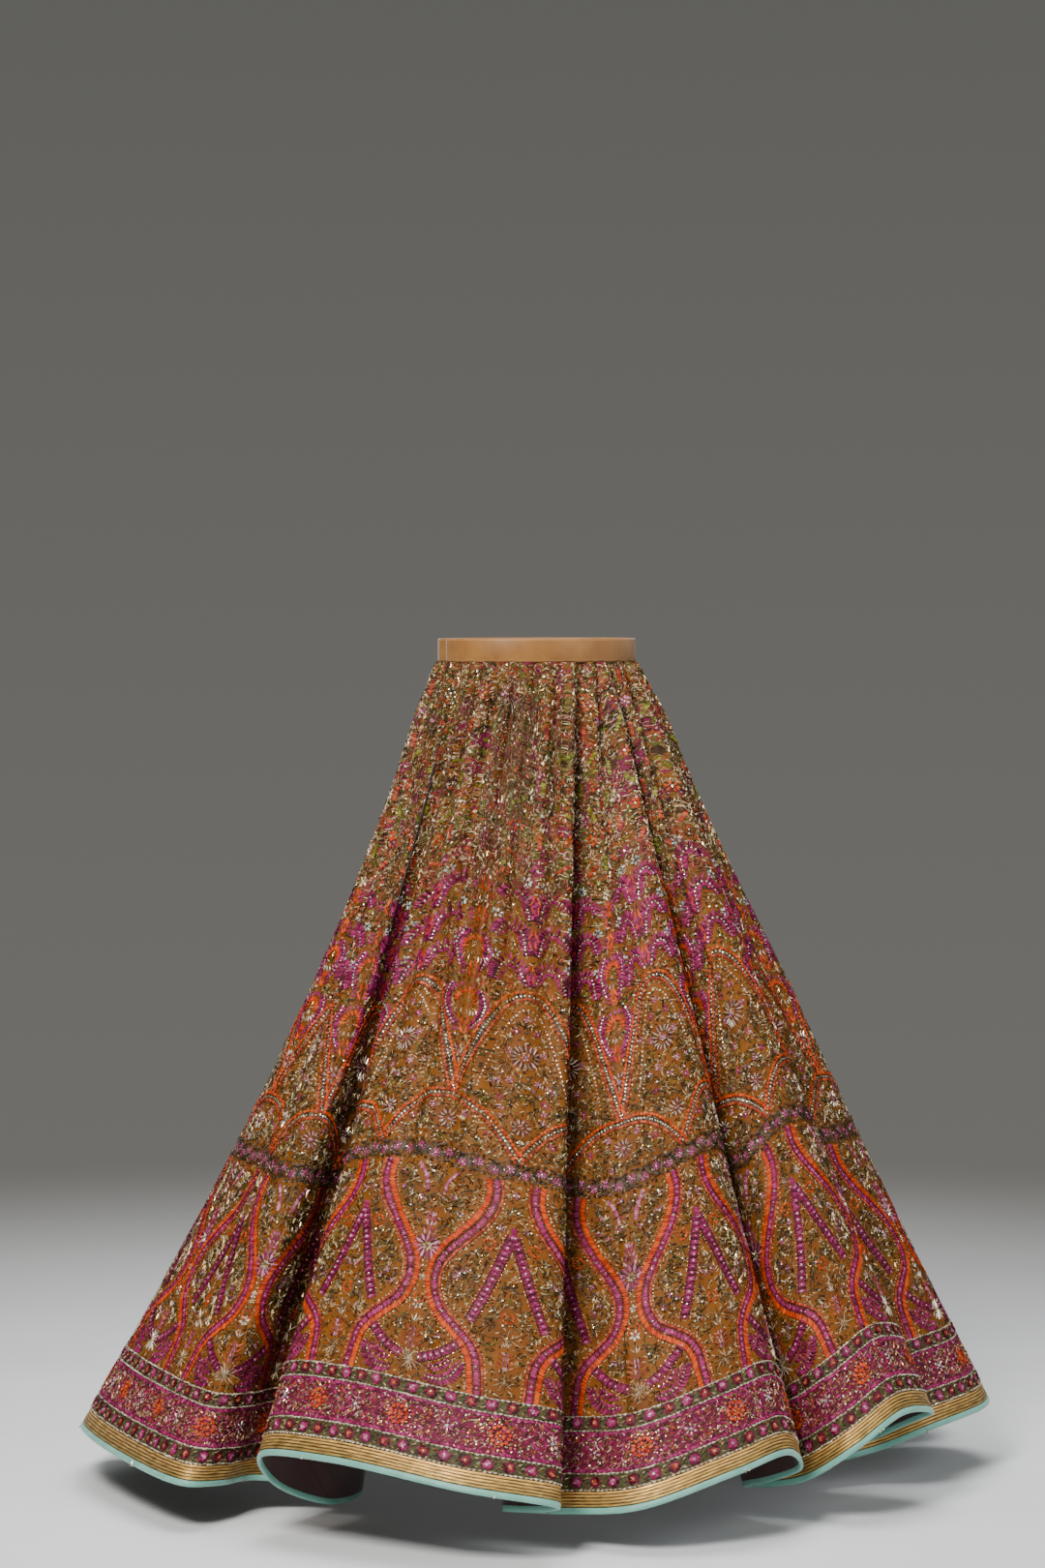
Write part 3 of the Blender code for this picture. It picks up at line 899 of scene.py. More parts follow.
def comb_leaf(path, thread, reach, outer=1, spine="silver"):
    """A bent leaf: teeth slanting off both sides of a beaded spine, longer on its outer side."""
    leaf = Stitching()
    x, y, turn = spaced(path, 0.0032)
    t = np.linspace(0.0, 1.0, len(x))
    for side, share in ((outer, 1.0), (-outer, 0.6)):
        length = share * reach * (0.40 + 0.60 * np.sin(np.pi * t) ** 0.5)
        fan(leaf, thread, x, y, turn + side * 1.2, length / 2 + 0.0008, length, 0.0038, 0.0017)
    satin(leaf, "wine", path, reach * 1.1, 0.0040, outer * reach * 0.2, 0.0, 0.0004)
    beads(leaf, spine, path, 0.0046, 0.0034)
    return leaf


def strip(path, width):
    """A magenta strip with lilac squares, dark bars and beads down its middle, and dots along its sides."""
    band = Stitching()
    satin(band, "magenta", path, width * 1.10, 0.0030, 0.0, 0.0, 0.0010)
    x, y, turn = spaced(path, 0.0072)
    band.add("lilac", x, y, turn, 0.0042, 0.0044, 0.0022)
    band.add("silver", x[::2], y[::2], turn[::2], 0.0022, 0.0022, 0.0030)
    band.add("wine", (x[1:] + x[:-1]) / 2, (y[1:] + y[:-1]) / 2, turn[1:] + np.pi / 2, width, 0.0030, 0.0018)
    for side in (-1, 1):
        line(band, "wine", path, 0.0050, 0.0030, side * width * 0.45, 0.0018)
        beads(band, "gold", path, 0.0042, 0.0017, side * (width / 2 + 0.0010))
    return band


def fringed_bud(size):
    """A standing bud with combed coral sides and a silver tip."""
    bud = Stitching()
    for side in (-1, 1):
        for level in range(4):
            y = (-0.008 + level * 0.0042) * size
            x = side * (0.0060 - 0.0006 * level) * size
            bud.add("coral", x, y, np.pi / 2 - side * 1.0, 0.0068 * size, 0.0026, 0.0015)
    for level in range(4):
        y = (-0.009 + level * 0.0045) * size
        bud.add("lilac", np.array([-0.0014, 0.0014]) * size, y, np.pi / 2, 0.0052 * size, 0.0024, 0.0015)
    fan(bud, "silver", 0.0, 0.0105 * size, np.pi / 2 + 0.6 * THREE, 0.0045 * size, 0.0075 * size, 0.0020)
    return bud


def lilac_bloom():
    """A round lilac flower with a bud over it and pale leaves at its sides."""
    bloom = flower(
        ("wine", 12, 0.0050, 0.0145, 0.0040, 0.36, 0.0006),
        ("lilac", 12, 0.0040, 0.0135, 0.0034, 0.1, 0.0015),
        ("silver", 7, 0.0010, 0.0050, 0.0024, 0.3, 0.0017),
    )
    for level in range(5):
        thread = "magenta" if level % 2 else "lilac"
        x = (0.0050 - 0.0006 * level) * THREE
        bloom.add(thread, x, 0.0135 + level * 0.0045, np.pi / 2 - 0.5 * THREE, 0.0058, 0.0026, 0.0013)
    line(bloom, "zari", ((0.0, 0.034), (0.002, 0.046), (0.0, 0.058)), 0.0045, 0.0014)
    for side in (-1, 1):
        wisp = np.array(((0.004, 0.006), (0.014, 0.014), (0.020, 0.010), (0.024, 0.014))) * (side, 1.0)
        line(bloom, "zari", curve(wisp), 0.0042, 0.0015)
    return bloom


def tulip():
    """An orange arched flower over a fan of silver bugles, with magenta leaves round it."""
    over = np.linspace(-0.15, np.pi + 0.15, 11)
    under = -np.pi / 2 + np.linspace(-0.9, 0.9, 7)
    arcs = (
        # thread, directions, half its width, its height, foot, length, width, height
        ("orange", over, 0.0080, 0.0100, 0.0, 0.0066, 0.0036, 0.0018),
        ("magenta", over, 0.0140, 0.0160, 0.0, 0.0058, 0.0036, 0.0012),
        ("silver", under, 0.0135, 0.0110, -0.0020, 0.0062, 0.0019, 0.0013),
    )
    one = Stitching()
    for thread, turns, across, up, foot, *size in arcs:
        one.add(thread, across * np.cos(turns), foot + up * np.sin(turns), turns, *size)
    one.add("gold", 0.0, np.array([0.001, 0.005]), np.pi / 2, 0.0045, 0.0022)
    return one


def orange_cross():
    """Four crossed orange stitches with a coral waist and magenta dashes at both sides."""
    cross = Stitching()
    pair = np.array([-1.0, 1.0])
    for side in (-1, 1):
        turn = np.pi / 2 + side * 0.2 * pair
        cross.add("orange", 0.0022 * pair, side * 0.0055, turn, 0.0120, 0.0040, 0.0018)
    cross.add("coral", 0.0038 * pair, 0.0, np.pi - 0.5 * pair, 0.0065, 0.0030)
    for side in (-1, 1):
        cross.add("magenta", side * 0.0075, 0.005 * THREE, side * 0.35, 0.0085, 0.0036, 0.0013)
    return cross


# The ogee's vine, from the border up: height, and half its width as a share of the panel's width there.
VINE = (
    (0.1165, 0.127),
    (0.142, 0.139),
    (0.160, 0.155),
    (0.176, 0.200),
    (0.191, 0.280),
    (0.208, 0.370),
    (0.233, 0.420),
    (0.258, 0.412),
    (0.280, 0.355),
    (0.300, 0.275),
    (0.323, 0.185),
    (0.345, 0.130),
    (0.362, 0.115),
    (0.378, 0.125),
)
# The vine's satin stitch, on its right side; its left side is mirrored.
VINE_SATIN = (
    # thread, across, step, offset, slant, height
    ("orange", 0.0088, 0.0024, -0.0080, 0.3, 0.0018),
    ("coral", 0.0042, 0.0024, 0.0062, -0.3, 0.0016),
    ("magenta", 0.0078, 0.0030, 0.0, 0.0, 0.0012),
)
VINE_BEADS = (
    # thread, step, size, offset
    ("lilac", 0.0066, 0.0040, 0.0),
    ("silver", 0.0132, 0.0026, 0.0),
    ("beige", 0.0050, 0.0023, -0.0134),
    ("beige", 0.0050, 0.0023, 0.0092),
)
VINE_EDGES = (-0.0040, 0.0040)
# The flower garland: its height, how far it waves up and down, and its flowers on a panel.
GARLAND_MIDDLE = 0.393
GARLAND_WAVE = 0.0024
GARLAND_FLOWERS = 10
# The border: its flowered strips and its bead lines, each by its height, and its middle.
ROSETTE_STRIPS = (0.0372, 0.1068)
ROSETTES = 10
BEAD_LINES = (0.0279, 0.0470, 0.0972, 0.1140)
BORDER_MIDDLE = 0.0722
BORDER_HALF = 0.022
# How much narrower the cloth gets, on the whole, for each metre up from the hem.
TAPER = 0.80
# Where the pattern lies on the cloth. Columns: seam, how far it is moved along the hem, in panels, and
# how tall it is above the border.
PATTERN_PLACE = (
    (0.0, 0.00, 1.00),
    (2.0, -0.03, 1.00),
    (3.4, -0.09, 0.85),
    (4.2, -0.12, 0.93),
    (4.85, -0.15, 1.00),
    (5.40, -0.10, 1.00),
    (7.00, 0.07, 1.00),
    (7.60, 0.12, 1.00),
    (9.00, 0.06, 1.00),
    (11.0, 0.02, 1.00),
    (13.0, 0.00, 1.00),
    (24.0, 0.00, 1.00),
)


def local_width(v):
    return cloth.kali * (1.0 - TAPER * v)


class Period:
    """One panel's embroidery: rows of panel share, height, direction, length, width and height, by thread."""

    def __init__(self):
        self.rows = {}

    def pin(self, stitching, share, v=0.0, turn=0.0, size=1.0, flip=False):
        """Lays stitches down round a place on the panel."""
        moved = Stitching()
        moved.put(stitching, 0.0, v, turn, size, flip)
        for thread in moved.rows:
            rows = moved.table(thread)
            rows[:, 0] = share + rows[:, 0] / local_width(rows[:, 1])
            self.rows.setdefault(thread, []).append(rows)

    def both(self, stitching, share, v=0.0, x=0.0, turn=0.0):
        """Lays stitches down twice, mirrored about an upright line."""
        moved = Stitching()
        moved.put(stitching, x, 0.0, turn)
        self.pin(moved, share, v)
        self.pin(moved, share, v, flip=True)

    def mirror(self, stitching, share, v):
        """Lays the same stitches down at the same height on both sides of the panel's middle."""
        for place in dict.fromkeys((share, 1.0 - share)):
            self.pin(stitching, place, v)

    def everything(self):
        return np.concatenate([rows for several in self.rows.values() for rows in several])


def stitch_border(period, rng):
    for middle in ROSETTE_STRIPS:
        for number in range(ROSETTES):
            kinds = (("magenta", "lilac"), ("wine", "coral"))[number % 2]
            share = (number + 0.5) / ROSETTES
            period.pin(rosette(*kinds), share, middle)
            leaf = Stitching()
            leaf.add("beige", 0.0, np.array([0.0046, -0.0046]), np.array([0.4, -0.4]), 0.0062, 0.0022)
            leaf.add("olive", np.array([0.0030, -0.0030]), np.array([-0.0018, 0.0018]), 0.6, 0.0052, 0.0022)
            period.pin(leaf, share + 0.5 / ROSETTES, middle)
        for side in (-1, 1):
            wave = Stitching()
            x = np.linspace(0.0, cloth.kali, 121)
            y = side * (0.0030 + 0.0050 * np.abs(np.sin(np.pi * ROSETTES * x / cloth.kali)))
            line(wave, "zari", np.stack([x, y], axis=1), 0.0044, 0.0014)
            period.pin(wave, 0.0, middle)
    across = ((0.0, 0.0), (cloth.kali, 0.0))
    for v in BEAD_LINES:
        edge = Stitching()
        line(edge, "silver", across, 0.0054, 0.0031, 0.0, 0.0016)
        period.pin(edge, 0.0, v)
    middle = BORDER_MIDDLE
    for share in (0.0, 0.5):
        period.pin(roundel(), share, middle)
        period.pin(aqua_star(), share + 0.25, middle)
        for side in (0.125, -0.125):
            for way in (1, -1):
                turn = 0.0 if way > 0 else np.pi
                one = scroll("gold", 0.020, 4, "wine")
                period.pin(one, share + side, middle + 0.008 * way, turn, flip=side < 0)
                one = small_flower("coral", "gold", 0.0036)
                period.pin(one, share + side * 1.25, middle - 0.013 * way)
    loose = Stitching()
    kinds = (
        # thread, how many, length, width
        ("silver", 34, 0.0032, 0.0030),
        ("gold", 80, 0.0030, 0.0028),
        ("beige", 60, 0.0060, 0.0020),
        ("magenta", 120, 0.0080, 0.0034),
        ("lilac", 34, 0.0060, 0.0030),
        ("coral", 24, 0.0064, 0.0026),
        ("olive", 70, 0.0064, 0.0028),
    )
    for thread, count, length, width in kinds:
        x, y = rng.uniform(0.0, cloth.kali, count), rng.uniform(-BORDER_HALF, BORDER_HALF, count)
        loose.add(thread, x, y, rng.uniform(0.0, np.pi, count), length, width, 0.0012)
    period.pin(loose, 0.0, middle)
    for v in (BAND_LOW + 0.0028, BAND_TOP - 0.0028):
        edge = Stitching()
        satin(edge, "magenta", across, 0.0036, 0.0030, 0.0, 0.8)
        period.pin(edge, 0.0, v)


def stitch_ogee(period):
    v, share = np.array(VINE).T
    smooth = curve(np.stack([share, v], axis=1), 5)
    for side in (-1, 1):
        path = np.stack([side * smooth[:, 0] * local_width(smooth[:, 1]), smooth[:, 1]], axis=1)
        vine = Stitching()
        for thread, across, step, offset, slant, height in VINE_SATIN:
            satin(vine, thread, path, across, step, side * offset, side * slant, height)
        for thread, step, size, offset in VINE_BEADS:
            beads(vine, thread, path, step, size, side * offset)
        for edge in VINE_EDGES:
            line(vine, "wine", path, 0.0050, 0.0016, edge, 0.0016)
        period.pin(vine, 0.5)
    leg = curve(((0.0015, 0.311), (0.010, 0.285), (0.024, 0.243), (0.040, 0.203)))
    period.both(strip(leg, 0.0115), 0.5)
    tip = Stitching()
    satin(tip, "magenta", ((0.0, 0.300), (0.0, 0.322)), 0.0090, 0.0028)
    rays(tip, "silver", 3, 0.001, 0.006, 0.002)
    period.pin(tip, 0.5)
    loop = Stitching()
    ring = np.linspace(0.3, 5.2, 10)
    path = 0.0062 * np.stack([np.cos(ring), np.sin(ring)], axis=1)
    line(loop, "orange", path, 0.0042, 0.0030, 0.0, 0.0016)
    rays(loop, "zari", 4, 0.0008, 0.0042, 0.0018)
    period.both(loop, 0.5, 0.299, 0.024)
    placed = (
        # share, height, what, how it is turned
        (0.5, 0.213, loop, 2.0),
        (0.0, 0.213, loop, 2.0),
        (0.0, 0.205, small_flower("silver", "gold", 0.0072, 6), 0.0),
        (0.0, 0.238, small_flower("silver", "aqua", 0.0052, 5), 0.0),
        (0.5, 0.137, burst(11, 0.0110, "beige"), 0.0),
        (0.5, 0.163, fringed_bud(1.25), 0.0),
        (0.5, 0.188, burst(7, 0.0120, "beige", 1.8), 0.0),
        (0.0, 0.139, burst(14, 0.0130, "silver", 1.8), 0.0),
        (0.0, 0.168, fringed_bud(1.4), 0.0),
    )
    for share, v, one, turn in placed:
        period.pin(one, share, v, turn)
    diagonal = curve(((0.012, 0.143), (0.032, 0.153), (0.054, 0.172)))
    period.both(strip(diagonal, 0.0115), 0.0)
    crescent = curve(((0.022, 0.124), (0.038, 0.124), (0.050, 0.132), (0.058, 0.148)))
    period.both(comb_leaf(crescent, "magenta", 0.0100, -1, "beige"), 0.0)
    inner = curve(((0.024, 0.136), (0.036, 0.139), (0.045, 0.148)))
    period.both(comb_leaf(inner, "magenta", 0.0066, -1, "gold"), 0.0)
    period.pin(lilac_bloom(), 0.0, 0.276, size=1.25)
    rib = curve(((0.010, 0.345), (0.013, 0.360), (0.022, 0.374)))
    garnish = Stitching()
    satin(garnish, "lilac", rib, 0.0055, 0.0030)
    beads(garnish, "silver", rib, 0.0050, 0.0018)
    period.both(garnish, 0.0)


def stitch_garland(period):
    middle = GARLAND_MIDDLE
    width = local_width(middle)
    x = np.linspace(0.0, width, 8 * GARLAND_FLOWERS + 1)
    wave = np.stack([x, GARLAND_WAVE * np.sin(np.pi * GARLAND_FLOWERS * x / width)], axis=1)
    ground = Stitching()
    satin(ground, "umber", wave, 0.0180, 0.0030, 0.0, 0.2, 0.0008)
    for side in (-1, 1):
        line(ground, "umber", wave, 0.0046, 0.0040, side * 0.0100, 0.0026)
        line(ground, "zari", wave, 0.0046, 0.0014, side * 0.0078, 0.0016)
    period.pin(ground, 0.0, middle)
    between = Stitching()
    between.add("zari", 0.0, 0.0038 * THREE, 0.7 * THREE, 0.0062, 0.0020)
    dot(between, "silver", 0.0025, 0.0, 0.0022, 1.0)
    one = small_flower("lilac", "silver", 0.0058, 7)
    rays(one, "magenta", 7, 0.0010, 0.0064, 0.0026, 0.7, 0.0012)
    for number in range(GARLAND_FLOWERS):
        period.pin(one, (number + 0.5) / GARLAND_FLOWERS, middle + GARLAND_WAVE * (-1) ** number)
        period.pin(between, number / GARLAND_FLOWERS, middle)


def arch(foot, top, half_share, power, count=21):
    """An arch across the panel, as metres from its middle and heights."""
    t = np.linspace(-1.0, 1.0, count)
    v = foot + (top - foot) * (1.0 - np.abs(t) ** power)
    return np.stack([t * half_share * local_width(v), v], axis=1)


def cord(period, share, path):
    """Two raised lines on a dark ground, which also paints the shade beside and between them, with a row of
    silver beads between, and beads beside them.
    """
    cords = Stitching()
    # A dark umber thread that also paints the shade beside and between the raised lines.
    line(cords, "umber", path, 0.0050, 0.0130, 0.0, 0.0007)
    for thread, offset in (("coral", -0.0045), ("orange", 0.0045)):
        line(cords, thread, path, 0.0050, 0.0046, offset, 0.0024)
    beads(cords, "silver", path, 0.0046, 0.0030)
    beads(cords, "zari", path, 0.0056, 0.0028, -0.0085)
    period.pin(cords, share)


def stitch_trellis(period):
    cord(period, 0.0, arch(0.408, 0.468, 0.5, 2.2))
    cord(period, 0.5, arch(0.474, 0.620, 0.5, 2.2))
    dotted = Stitching()
    beads(dotted, "silver", arch(0.490, 0.602, 0.32, 2.0), 0.0052, 0.0028)
    period.pin(dotted, 0.5)
    stars = (
        # share, height, how many rays, inner and outer radius
        (0.5, 0.540, 16, 0.0065, 0.0180),
        (0.0, 0.520, 12, 0.0050, 0.0140),
        (0.0, 0.436, 12, 0.0045, 0.0130),
        (0.5, 0.450, 10, 0.0040, 0.0120),
    )
    for share, v, count, inner, outer in stars:
        period.pin(ring_star(count, inner, outer), share, v)
    flowers = (
        # share, height, thread
        (0.37, 0.545, "lilac"),
        (0.42, 0.572, "magenta"),
        (0.40, 0.508, "lilac"),
        (0.34, 0.483, "magenta"),
        (0.50, 0.590, "lilac"),
        (0.12, 0.450, "lilac"),
        (0.28, 0.432, "magenta"),
    )
    for share, v, thread in flowers:
        period.mirror(small_flower(thread, "silver", 0.0050, 6), share, v)


def stitch_leaf_band(period):
    fronds = (
        # foot, bends and tip of each, as x and height, over the top of the arch
        ((0.004, 0.634), (0.013, 0.655), (0.027, 0.654), (0.034, 0.632)),
        ((0.006, 0.674), (0.011, 0.700), (0.024, 0.706), (0.034, 0.690)),
        ((0.005, 0.720), (0.009, 0.745), (0.019, 0.753), (0.029, 0.742)),
    )
    for frond in fronds:
        period.both(comb_leaf(curve(frond), "magenta", 0.0125), 0.5)
    for v in (0.648, 0.694, 0.740):
        period.pin(orange_cross(), 0.5, v, size=1.15)
    slim = (
        # beside the column of tulips
        ((0.010, 0.558), (0.018, 0.572), (0.022, 0.590), (0.016, 0.608)),
        ((0.011, 0.634), (0.015, 0.648), (0.016, 0.664), (0.010, 0.682)),
    )
    for leaf in slim:
        period.both(comb_leaf(curve(leaf), "magenta", 0.0070), 0.0)
    for v in (0.590, 0.660):
        period.pin(tulip(), 0.0, v, size=1.25)
    for v in (0.556, 0.630, 0.702, 0.744):
        period.pin(orange_cross(), 0.0, v, size=1.05)
    for share, v in ((0.19, 0.664), (0.17, 0.716), (0.40, 0.768)):
        period.mirror(small_flower("aqua", "wine", 0.0068, 6), share, v)


# What grows near the waist. Columns: share of the panel, height, what, thread, lean.
HIGH_FLOWERS = (
    (0.00, 0.764, "flower", "beige", 0.0),
    (0.50, 0.786, "flower", "magenta", 0.0),
    (0.25, 0.796, "leaf", "coral", 0.6),
    (0.00, 0.806, "leaf", "lime", 0.0),
    (0.50, 0.824, "leaf", "coral", 0.0),
    (0.25, 0.838, "flower", "orange", 0.0),
    (0.00, 0.846, "flower", "coral", 0.0),
    (0.50, 0.862, "flower", "beige", 0.0),
    (0.25, 0.872, "leaf", "lime", -0.6),
    (0.00, 0.886, "leaf", "coral", 0.0),
    (0.50, 0.900, "leaf", "lime", 0.0),
    (0.25, 0.910, "flower", "coral", 0.0),
    (0.00, 0.924, "flower", "magenta", 0.0),
    (0.50, 0.938, "flower", "beige", 0.0),
    (0.25, 0.948, "leaf", "lime", 0.5),
    (0.00, 0.962, "leaf", "coral", 0.0),
    (0.50, 0.976, "leaf", "coral", 0.0),
    (0.00, 1.000, "flower", "lilac", 0.0),
    (0.50, 1.014, "flower", "coral", 0.0),
    (0.00, 1.034, "leaf", "coral", 0.0),
)


def outlined_leaf(thread, length=0.026):
    """An upright almond of colour in a pale outline, with three pale tips."""
    leaf = Stitching()
    t = np.linspace(0.0, 2 * np.pi, 13)
    across = 0.30 * length * np.sin(t) * (1.0 - 0.3 * np.cos(t))
    path = np.stack([across, -0.5 * length * np.cos(t)], axis=1)
    satin(leaf, thread, ((0.0, -0.3 * length), (0.0, 0.32 * length)), 0.30 * length, 0.0030, 0.0, 0.4)
    line(leaf, "beige", path, 0.0050, 0.0023, 0.0, 0.0016)
    fan(leaf, "beige", 0.0, 0.56 * length, np.pi / 2 + 0.7 * THREE, 0.004, 0.0066, 0.0023, 0.0014)
    return leaf


def stitch_high_flowers(period):
    for share, v, what, thread, lean in HIGH_FLOWERS:
        one = outlined_leaf(thread) if what == "leaf" else small_flower(thread, "silver", 0.0085, 6)
        if what == "flower":
            rays(one, "beige", 6, 0.0080, 0.0125, 0.0024, 0.3 + np.pi / 6, 0.0014)
        period.pin(one, share, v, lean)
        if share == 0.25:
            period.pin(one, 1.0 - share, v, -lean, flip=True)


# What fills each part of the cloth. Columns: from, to, spacing, sprig length, then the threads of
# stems, leaves on one side, leaves on the other and tips.
FILLS = (
    (0.119, 0.381, 0.0160, 0.036, "olive zari", "beige zari", "olive umber", "beige gold lilac zari"),
    (0.408, 0.600, 0.0160, 0.036, "olive zari", "beige zari", "olive umber", "lilac beige gold zari"),
    (0.600, 0.780, 0.0150, 0.030, "olive zari", "beige zari", "olive coral", "beige coral lime zari"),
    (0.780, 1.160, 0.0160, 0.034, "olive zari", "beige gold", "olive coral", "beige gold coral lime"),
)
# The raster of places that stitches take on a panel: its cells across, a cell's height, its cells up,
# and how many cells a filling stitch keeps clear of the other stitches.
RASTER_ACROSS = 240
RASTER_CELL = 0.001
RASTER_UP = 1200
CLEAR = 4
# How far apart the rows of sprigs are, as a share of the sprigs' spacing.
ROW_SPACING = 0.92
# How far under the waistband the embroidery stops, and over the border the filling starts.
WAIST_CLEAR = 0.004
BORDER_CLEAR = 0.003
# How unevenly stitches are placed: in metres, in direction, and their length, from and to.
PLACE_SPREAD = 0.00025
TURN_SPREAD = 0.10
LENGTH_SPREAD = (0.88, 1.10)


def raster_cell(share, v):
    """A place's column and row on the raster."""
    column = (share % 1.0 * RASTER_ACROSS).astype(int) % RASTER_ACROSS
    return column, np.clip((v / RASTER_CELL).astype(int), 0, RASTER_UP - 1)


def taken_places(period):
    """Where on the panel stitches lie already, with some room round them."""
    taken = np.zeros((RASTER_ACROSS, RASTER_UP), bool)
    rows = period.everything()
    for along in np.linspace(-0.5, 0.5, 5):
        a = rows[:, 0] + along * rows[:, 3] * np.cos(rows[:, 2]) / local_width(rows[:, 1])
        v = rows[:, 1] + along * rows[:, 3] * np.sin(rows[:, 2])
        taken[raster_cell(a, v)] = True
    for axis in (0, 1):
        for step in (-1, 1):
            for _ in range(CLEAR):
                taken |= np.roll(taken, step, axis)
    return taken


def stitch_fill(period, rng, taken):
    """Sprigs on a loose grid, mirrored about the panel's middle, where nothing lies yet."""
    fill = Period()
    for low, high, spacing, length, *threads in FILLS:
        kinds = [names.split() for names in threads]
        for level, v in enumerate(np.arange(low, high, spacing * ROW_SPACING)):
            count = max(2, int(round(0.5 * local_width(v) / spacing)))
            for number in range(count):
                share = (number + 0.5 * (level % 2) + rng.uniform(-0.25, 0.25)) / count / 2
                one = sprig(rng, kinds, length * rng.uniform(0.85, 1.15))
                turn = rng.uniform(-np.pi, np.pi)
                height = v + rng.uniform(-0.3, 0.3) * spacing
                fill.pin(one, share, height, turn)
                fill.pin(one, 1.0 - share, height, -turn, flip=True)
    for thread, several in fill.rows.items():
        rows = np.concatenate(several)
        free = ~taken[raster_cell(rows[:, 0], rows[:, 1])]
        kept = rows[free & (rows[:, 1] > BORDER_TOP + BORDER_CLEAR)]
        period.rows.setdefault(thread, []).append(kept)


# The corners of a stitch and of a bead in their own cell of the map.
CELL_CORNERS = ((0.15, 0.5), (0.5, 0.15), (0.85, 0.5), (0.5, 0.85), (0.5, 0.5))
STITCH_FACES = ((0, 1, 2), (0, 2, 3))
BEAD_FACES = ((0, 1, 4), (1, 2, 4), (2, 3, 4), (3, 0, 4))
# How far the foot of a stitch is sunk into the cloth.
SUNK = 0.0003
# How unevenly stitches and beads sit, as a share of their length and width.
STITCH_TILT = 0.05
BEAD_TILT = 0.09
# How steeply a bead's four faces fall from its top to its rim, and up to what length, in widths, a
# stitch is made as a bead.
BEAD_SLOPE = 0.15
BEAD_SHAPE = 1.25


def stitch_corners(rows, rng):
    """Both ends, both sides and the top of every stitch, one after the other round it."""
    s, v, turn, length, width, height = rows.T
    where = cloth.cell(s, v)
    tables = (cloth.place, cloth.across, cloth.upward, cloth.normal)
    centre, across, upward, normal = (cloth.read(table, where) for table in tables)
    across, upward, normal = unit(across), unit(upward), unit(normal)
    centre = centre + normal * np.where(v < BORDER_TOP, BORDER_FACE, 0.0)[:, None]
    way = across * np.cos(turn)[:, None] + upward * np.sin(turn)[:, None]
    ends = way * (length / 2)[:, None]
    sides = np.cross(normal, way) * (width / 2)[:, None]
    is_bead = length < BEAD_SHAPE * width
    pitch, roll = rng.normal(0.0, 1.0, (2, len(s))) * np.where(is_bead, BEAD_TILT, STITCH_TILT)
    rim = height - BEAD_SLOPE * width / 2
    ridge = normal * np.where(is_bead, rim, height)[:, None]
    rise = normal * (pitch * length)[:, None]
    foot = normal * np.where(is_bead, rim, -SUNK)[:, None]
    lean = normal * (roll * width)[:, None]
    top = centre + normal * height[:, None]
    corners = (centre + ends + ridge + rise, centre + sides + foot + lean)
    corners += (centre - ends + ridge - rise, centre - sides + foot - lean, top)
    return np.stack(corners, axis=1), is_bead


def thread_piece(name, thread, rows, rng, material):
    """One mesh of all the stitches of a thread: a ridge for each stitch, a low pyramid for each bead."""
    corners, is_bead = stitch_corners(rows, rng)
    cells = int(np.ceil(np.sqrt(len(rows))))
    cell = np.stack([np.arange(len(rows)) % cells, np.arange(len(rows)) // cells], axis=1)
    places = (cell[:, None] + np.array(CELL_CORNERS)) / cells
    shade = rng.uniform(0.0, 1.0, len(rows))
    points, faces, maps, shades, start = [], [], [], [], 0
    for chosen, form in ((~is_bead, STITCH_FACES), (is_bead, BEAD_FACES)):
        count = np.max(form) + 1
        points.append(corners[chosen, :count].reshape(-1, 3))
        maps.append(places[chosen, :count].reshape(-1, 2))
        shades.append(np.repeat(shade[chosen], count))
        first = start + np.arange(chosen.sum()) * count
        faces.append((np.array(form) + first[:, None, None]).reshape(-1, 3))
        start += len(points[-1])
    mesh = mesh_from(name, np.concatenate(points), np.concatenate(faces), not THREADS[thread][3])
    shade_layer = mesh.attributes.new("shade", "FLOAT", "POINT")
    shade_layer.data.foreach_set("value", np.concatenate(shades).astype(np.float32))
    give_map(mesh, "OFBake", np.concatenate(maps))
    piece = link(name, mesh, material)
    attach(piece, "root")


def embroider():
    """All the embroidery, panel by panel, gathered into pieces by thread."""
    rng = np.random.default_rng(SEED)
    base = Period()
    stitch_border(base, rng)
    stitch_ogee(base)
    stitch_garland(base)
    stitch_trellis(base)
    stitch_leaf_band(base)
    stitch_high_flowers(base)
    taken = taken_places(base)
    kinds = []
    for _ in range(FILL_KINDS):
        kind = Period()
        kind.rows = {thread: list(rows) for thread, rows in base.rows.items()}
        stitch_fill(kind, rng, taken)
        kinds.append({thread: np.concatenate(rows) for thread, rows in kind.rows.items()})
    seams, shifts, heights = np.array(PATTERN_PLACE).T
    for thread in THREADS:
        parts = []
        for panel in range(KALIS):
            rows = kinds[panel % FILL_KINDS].get(thread)
            if rows is None:
                continue
            rows = rows.copy()
            rows[:, 0] += panel
            over = np.maximum(rows[:, 1] - BORDER_TOP, 0.0)
            rows[:, 1] -= over * (1.0 - np.interp(rows[:, 0], seams, heights))
            rows[:, 0] = (rows[:, 0] + np.interp(rows[:, 0], seams, shifts)) * cloth.kali
            parts.append(rows)
        rows = np.concatenate(parts)
        rows[:, 0:2] += rng.normal(0.0, PLACE_SPREAD, (len(rows), 2))
        rows[:, 2] += rng.normal(0.0, TURN_SPREAD, len(rows))
        rows[:, 3] *= rng.uniform(*LENGTH_SPREAD, len(rows))
        rows = rows[rows[:, 1] < cloth.fall_at(rows[:, 0]) - WAIST_CLEAR]
        material = thread_material(thread)
        pieces = int(np.ceil(len(rows) / MOST_STITCHES))
        order = np.argsort(rows[:, 1], kind="stable")
        for number, chosen in enumerate(np.array_split(order, pieces), start=1):
            thread_piece(f"{thread}_stitches_{number}", thread, rows[chosen], rng, material)


